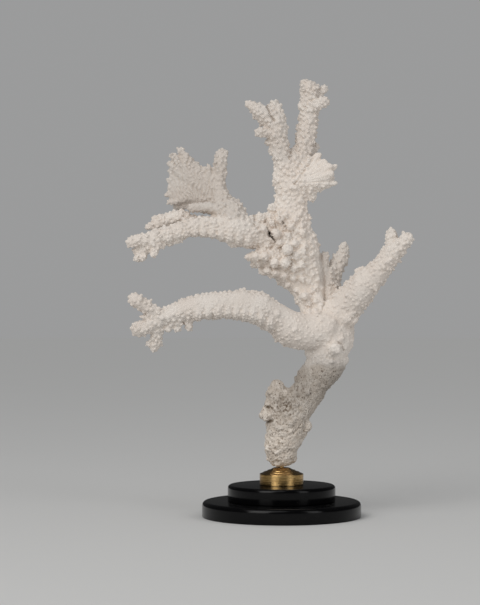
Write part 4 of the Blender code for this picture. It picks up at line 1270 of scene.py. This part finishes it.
def area_light(name, place, size, power, colour=(1, 1, 1)):
    """A softbox that points at the coral's middle."""
    bpy.ops.object.light_add(type="AREA", location=place)
    light = added(name)
    light.data.shape = "RECTANGLE"
    light.data.size, light.data.size_y = size
    light.data.energy = power
    light.data.color = colour
    light.rotation_euler = (Vector(LIT_PLACE) - Vector(place)).to_track_quat("-Z", "Y").to_euler()


def studio():
    bpy.ops.mesh.primitive_circle_add(vertices=96, radius=9.0, fill_type="NGON")
    floor = added("floor")
    made, where, shader = started("floor_finish", Roughness=0.8, Specular_IOR_Level=0.0)
    connect(shader, Base_Color=mixed(noise(where, 3.0) * 0.2, linear(216, 216, 215), linear(212, 212, 211)))
    floor.data.materials.append(made)
    area_light("left_softbox", (-1.15, -1.64, 1.05), (1.1, 1.9), 15.4, (1.0, 0.985, 0.96))
    area_light("right_softbox", (1.46, -1.36, 0.85), (0.7, 1.6), 6.0)
    bpy.ops.object.light_add(type="SUN", rotation=(math.radians(40), 0.0, math.radians(-30)))
    sky = added("ceiling_light")
    sky.data.energy = 0.6
    sky.data.angle = math.radians(50)
    world = bpy.data.worlds.new("studio")
    world.use_nodes = True
    background = world.node_tree.nodes["Background"]
    background.inputs["Color"].default_value = (0.99, 0.995, 1.0, 1)
    # the world is darker in reflections, so that the lacquer stays black
    glossy = Socket(world.node_tree).node("ShaderNodeLightPath", out=3)
    connect(background, Strength=0.33 - glossy * 0.28)
    bpy.context.scene.world = world
    bpy.context.scene.view_settings.view_transform = "Standard"


def photo_camera():
    """The photograph's view: level, from the measuring eye, the stand a little right of the middle."""
    place = (EYE_X * MM, -EYE_DISTANCE * MM, EYE_Z * MM)
    bpy.ops.object.camera_add(location=place, rotation=(math.pi / 2, 0, 0))
    camera = bpy.context.active_object
    camera.data.sensor_width = 36.0
    camera.data.lens = 111.75
    camera.data.clip_start = 0.05
    camera.data.clip_end = 60.0
    bpy.context.scene.camera = camera


coral = grown_coral()
pieces = parted(coral.item, marked(coral))
coral_finish = coral_material()
for node, item in pieces.items():
    place_piece(item, coral_finish, node)
lacquer = lacquer_material()
brass = brass_material()
lower = turned_disc("turned_lower_disc", LOWER_DISC)
place_piece(lower, lacquer, "base_lower_disc")
upper = turned_disc("turned_upper_disc", UPPER_DISC)
place_piece(upper, lacquer, "base_upper_disc")
place_piece(turned_ferrule(), brass, "brass_ferrule")
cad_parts["mounting_pin"].data.materials.clear()
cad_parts["mounting_pin"].data.materials.append(brass)
studio()
photo_camera()
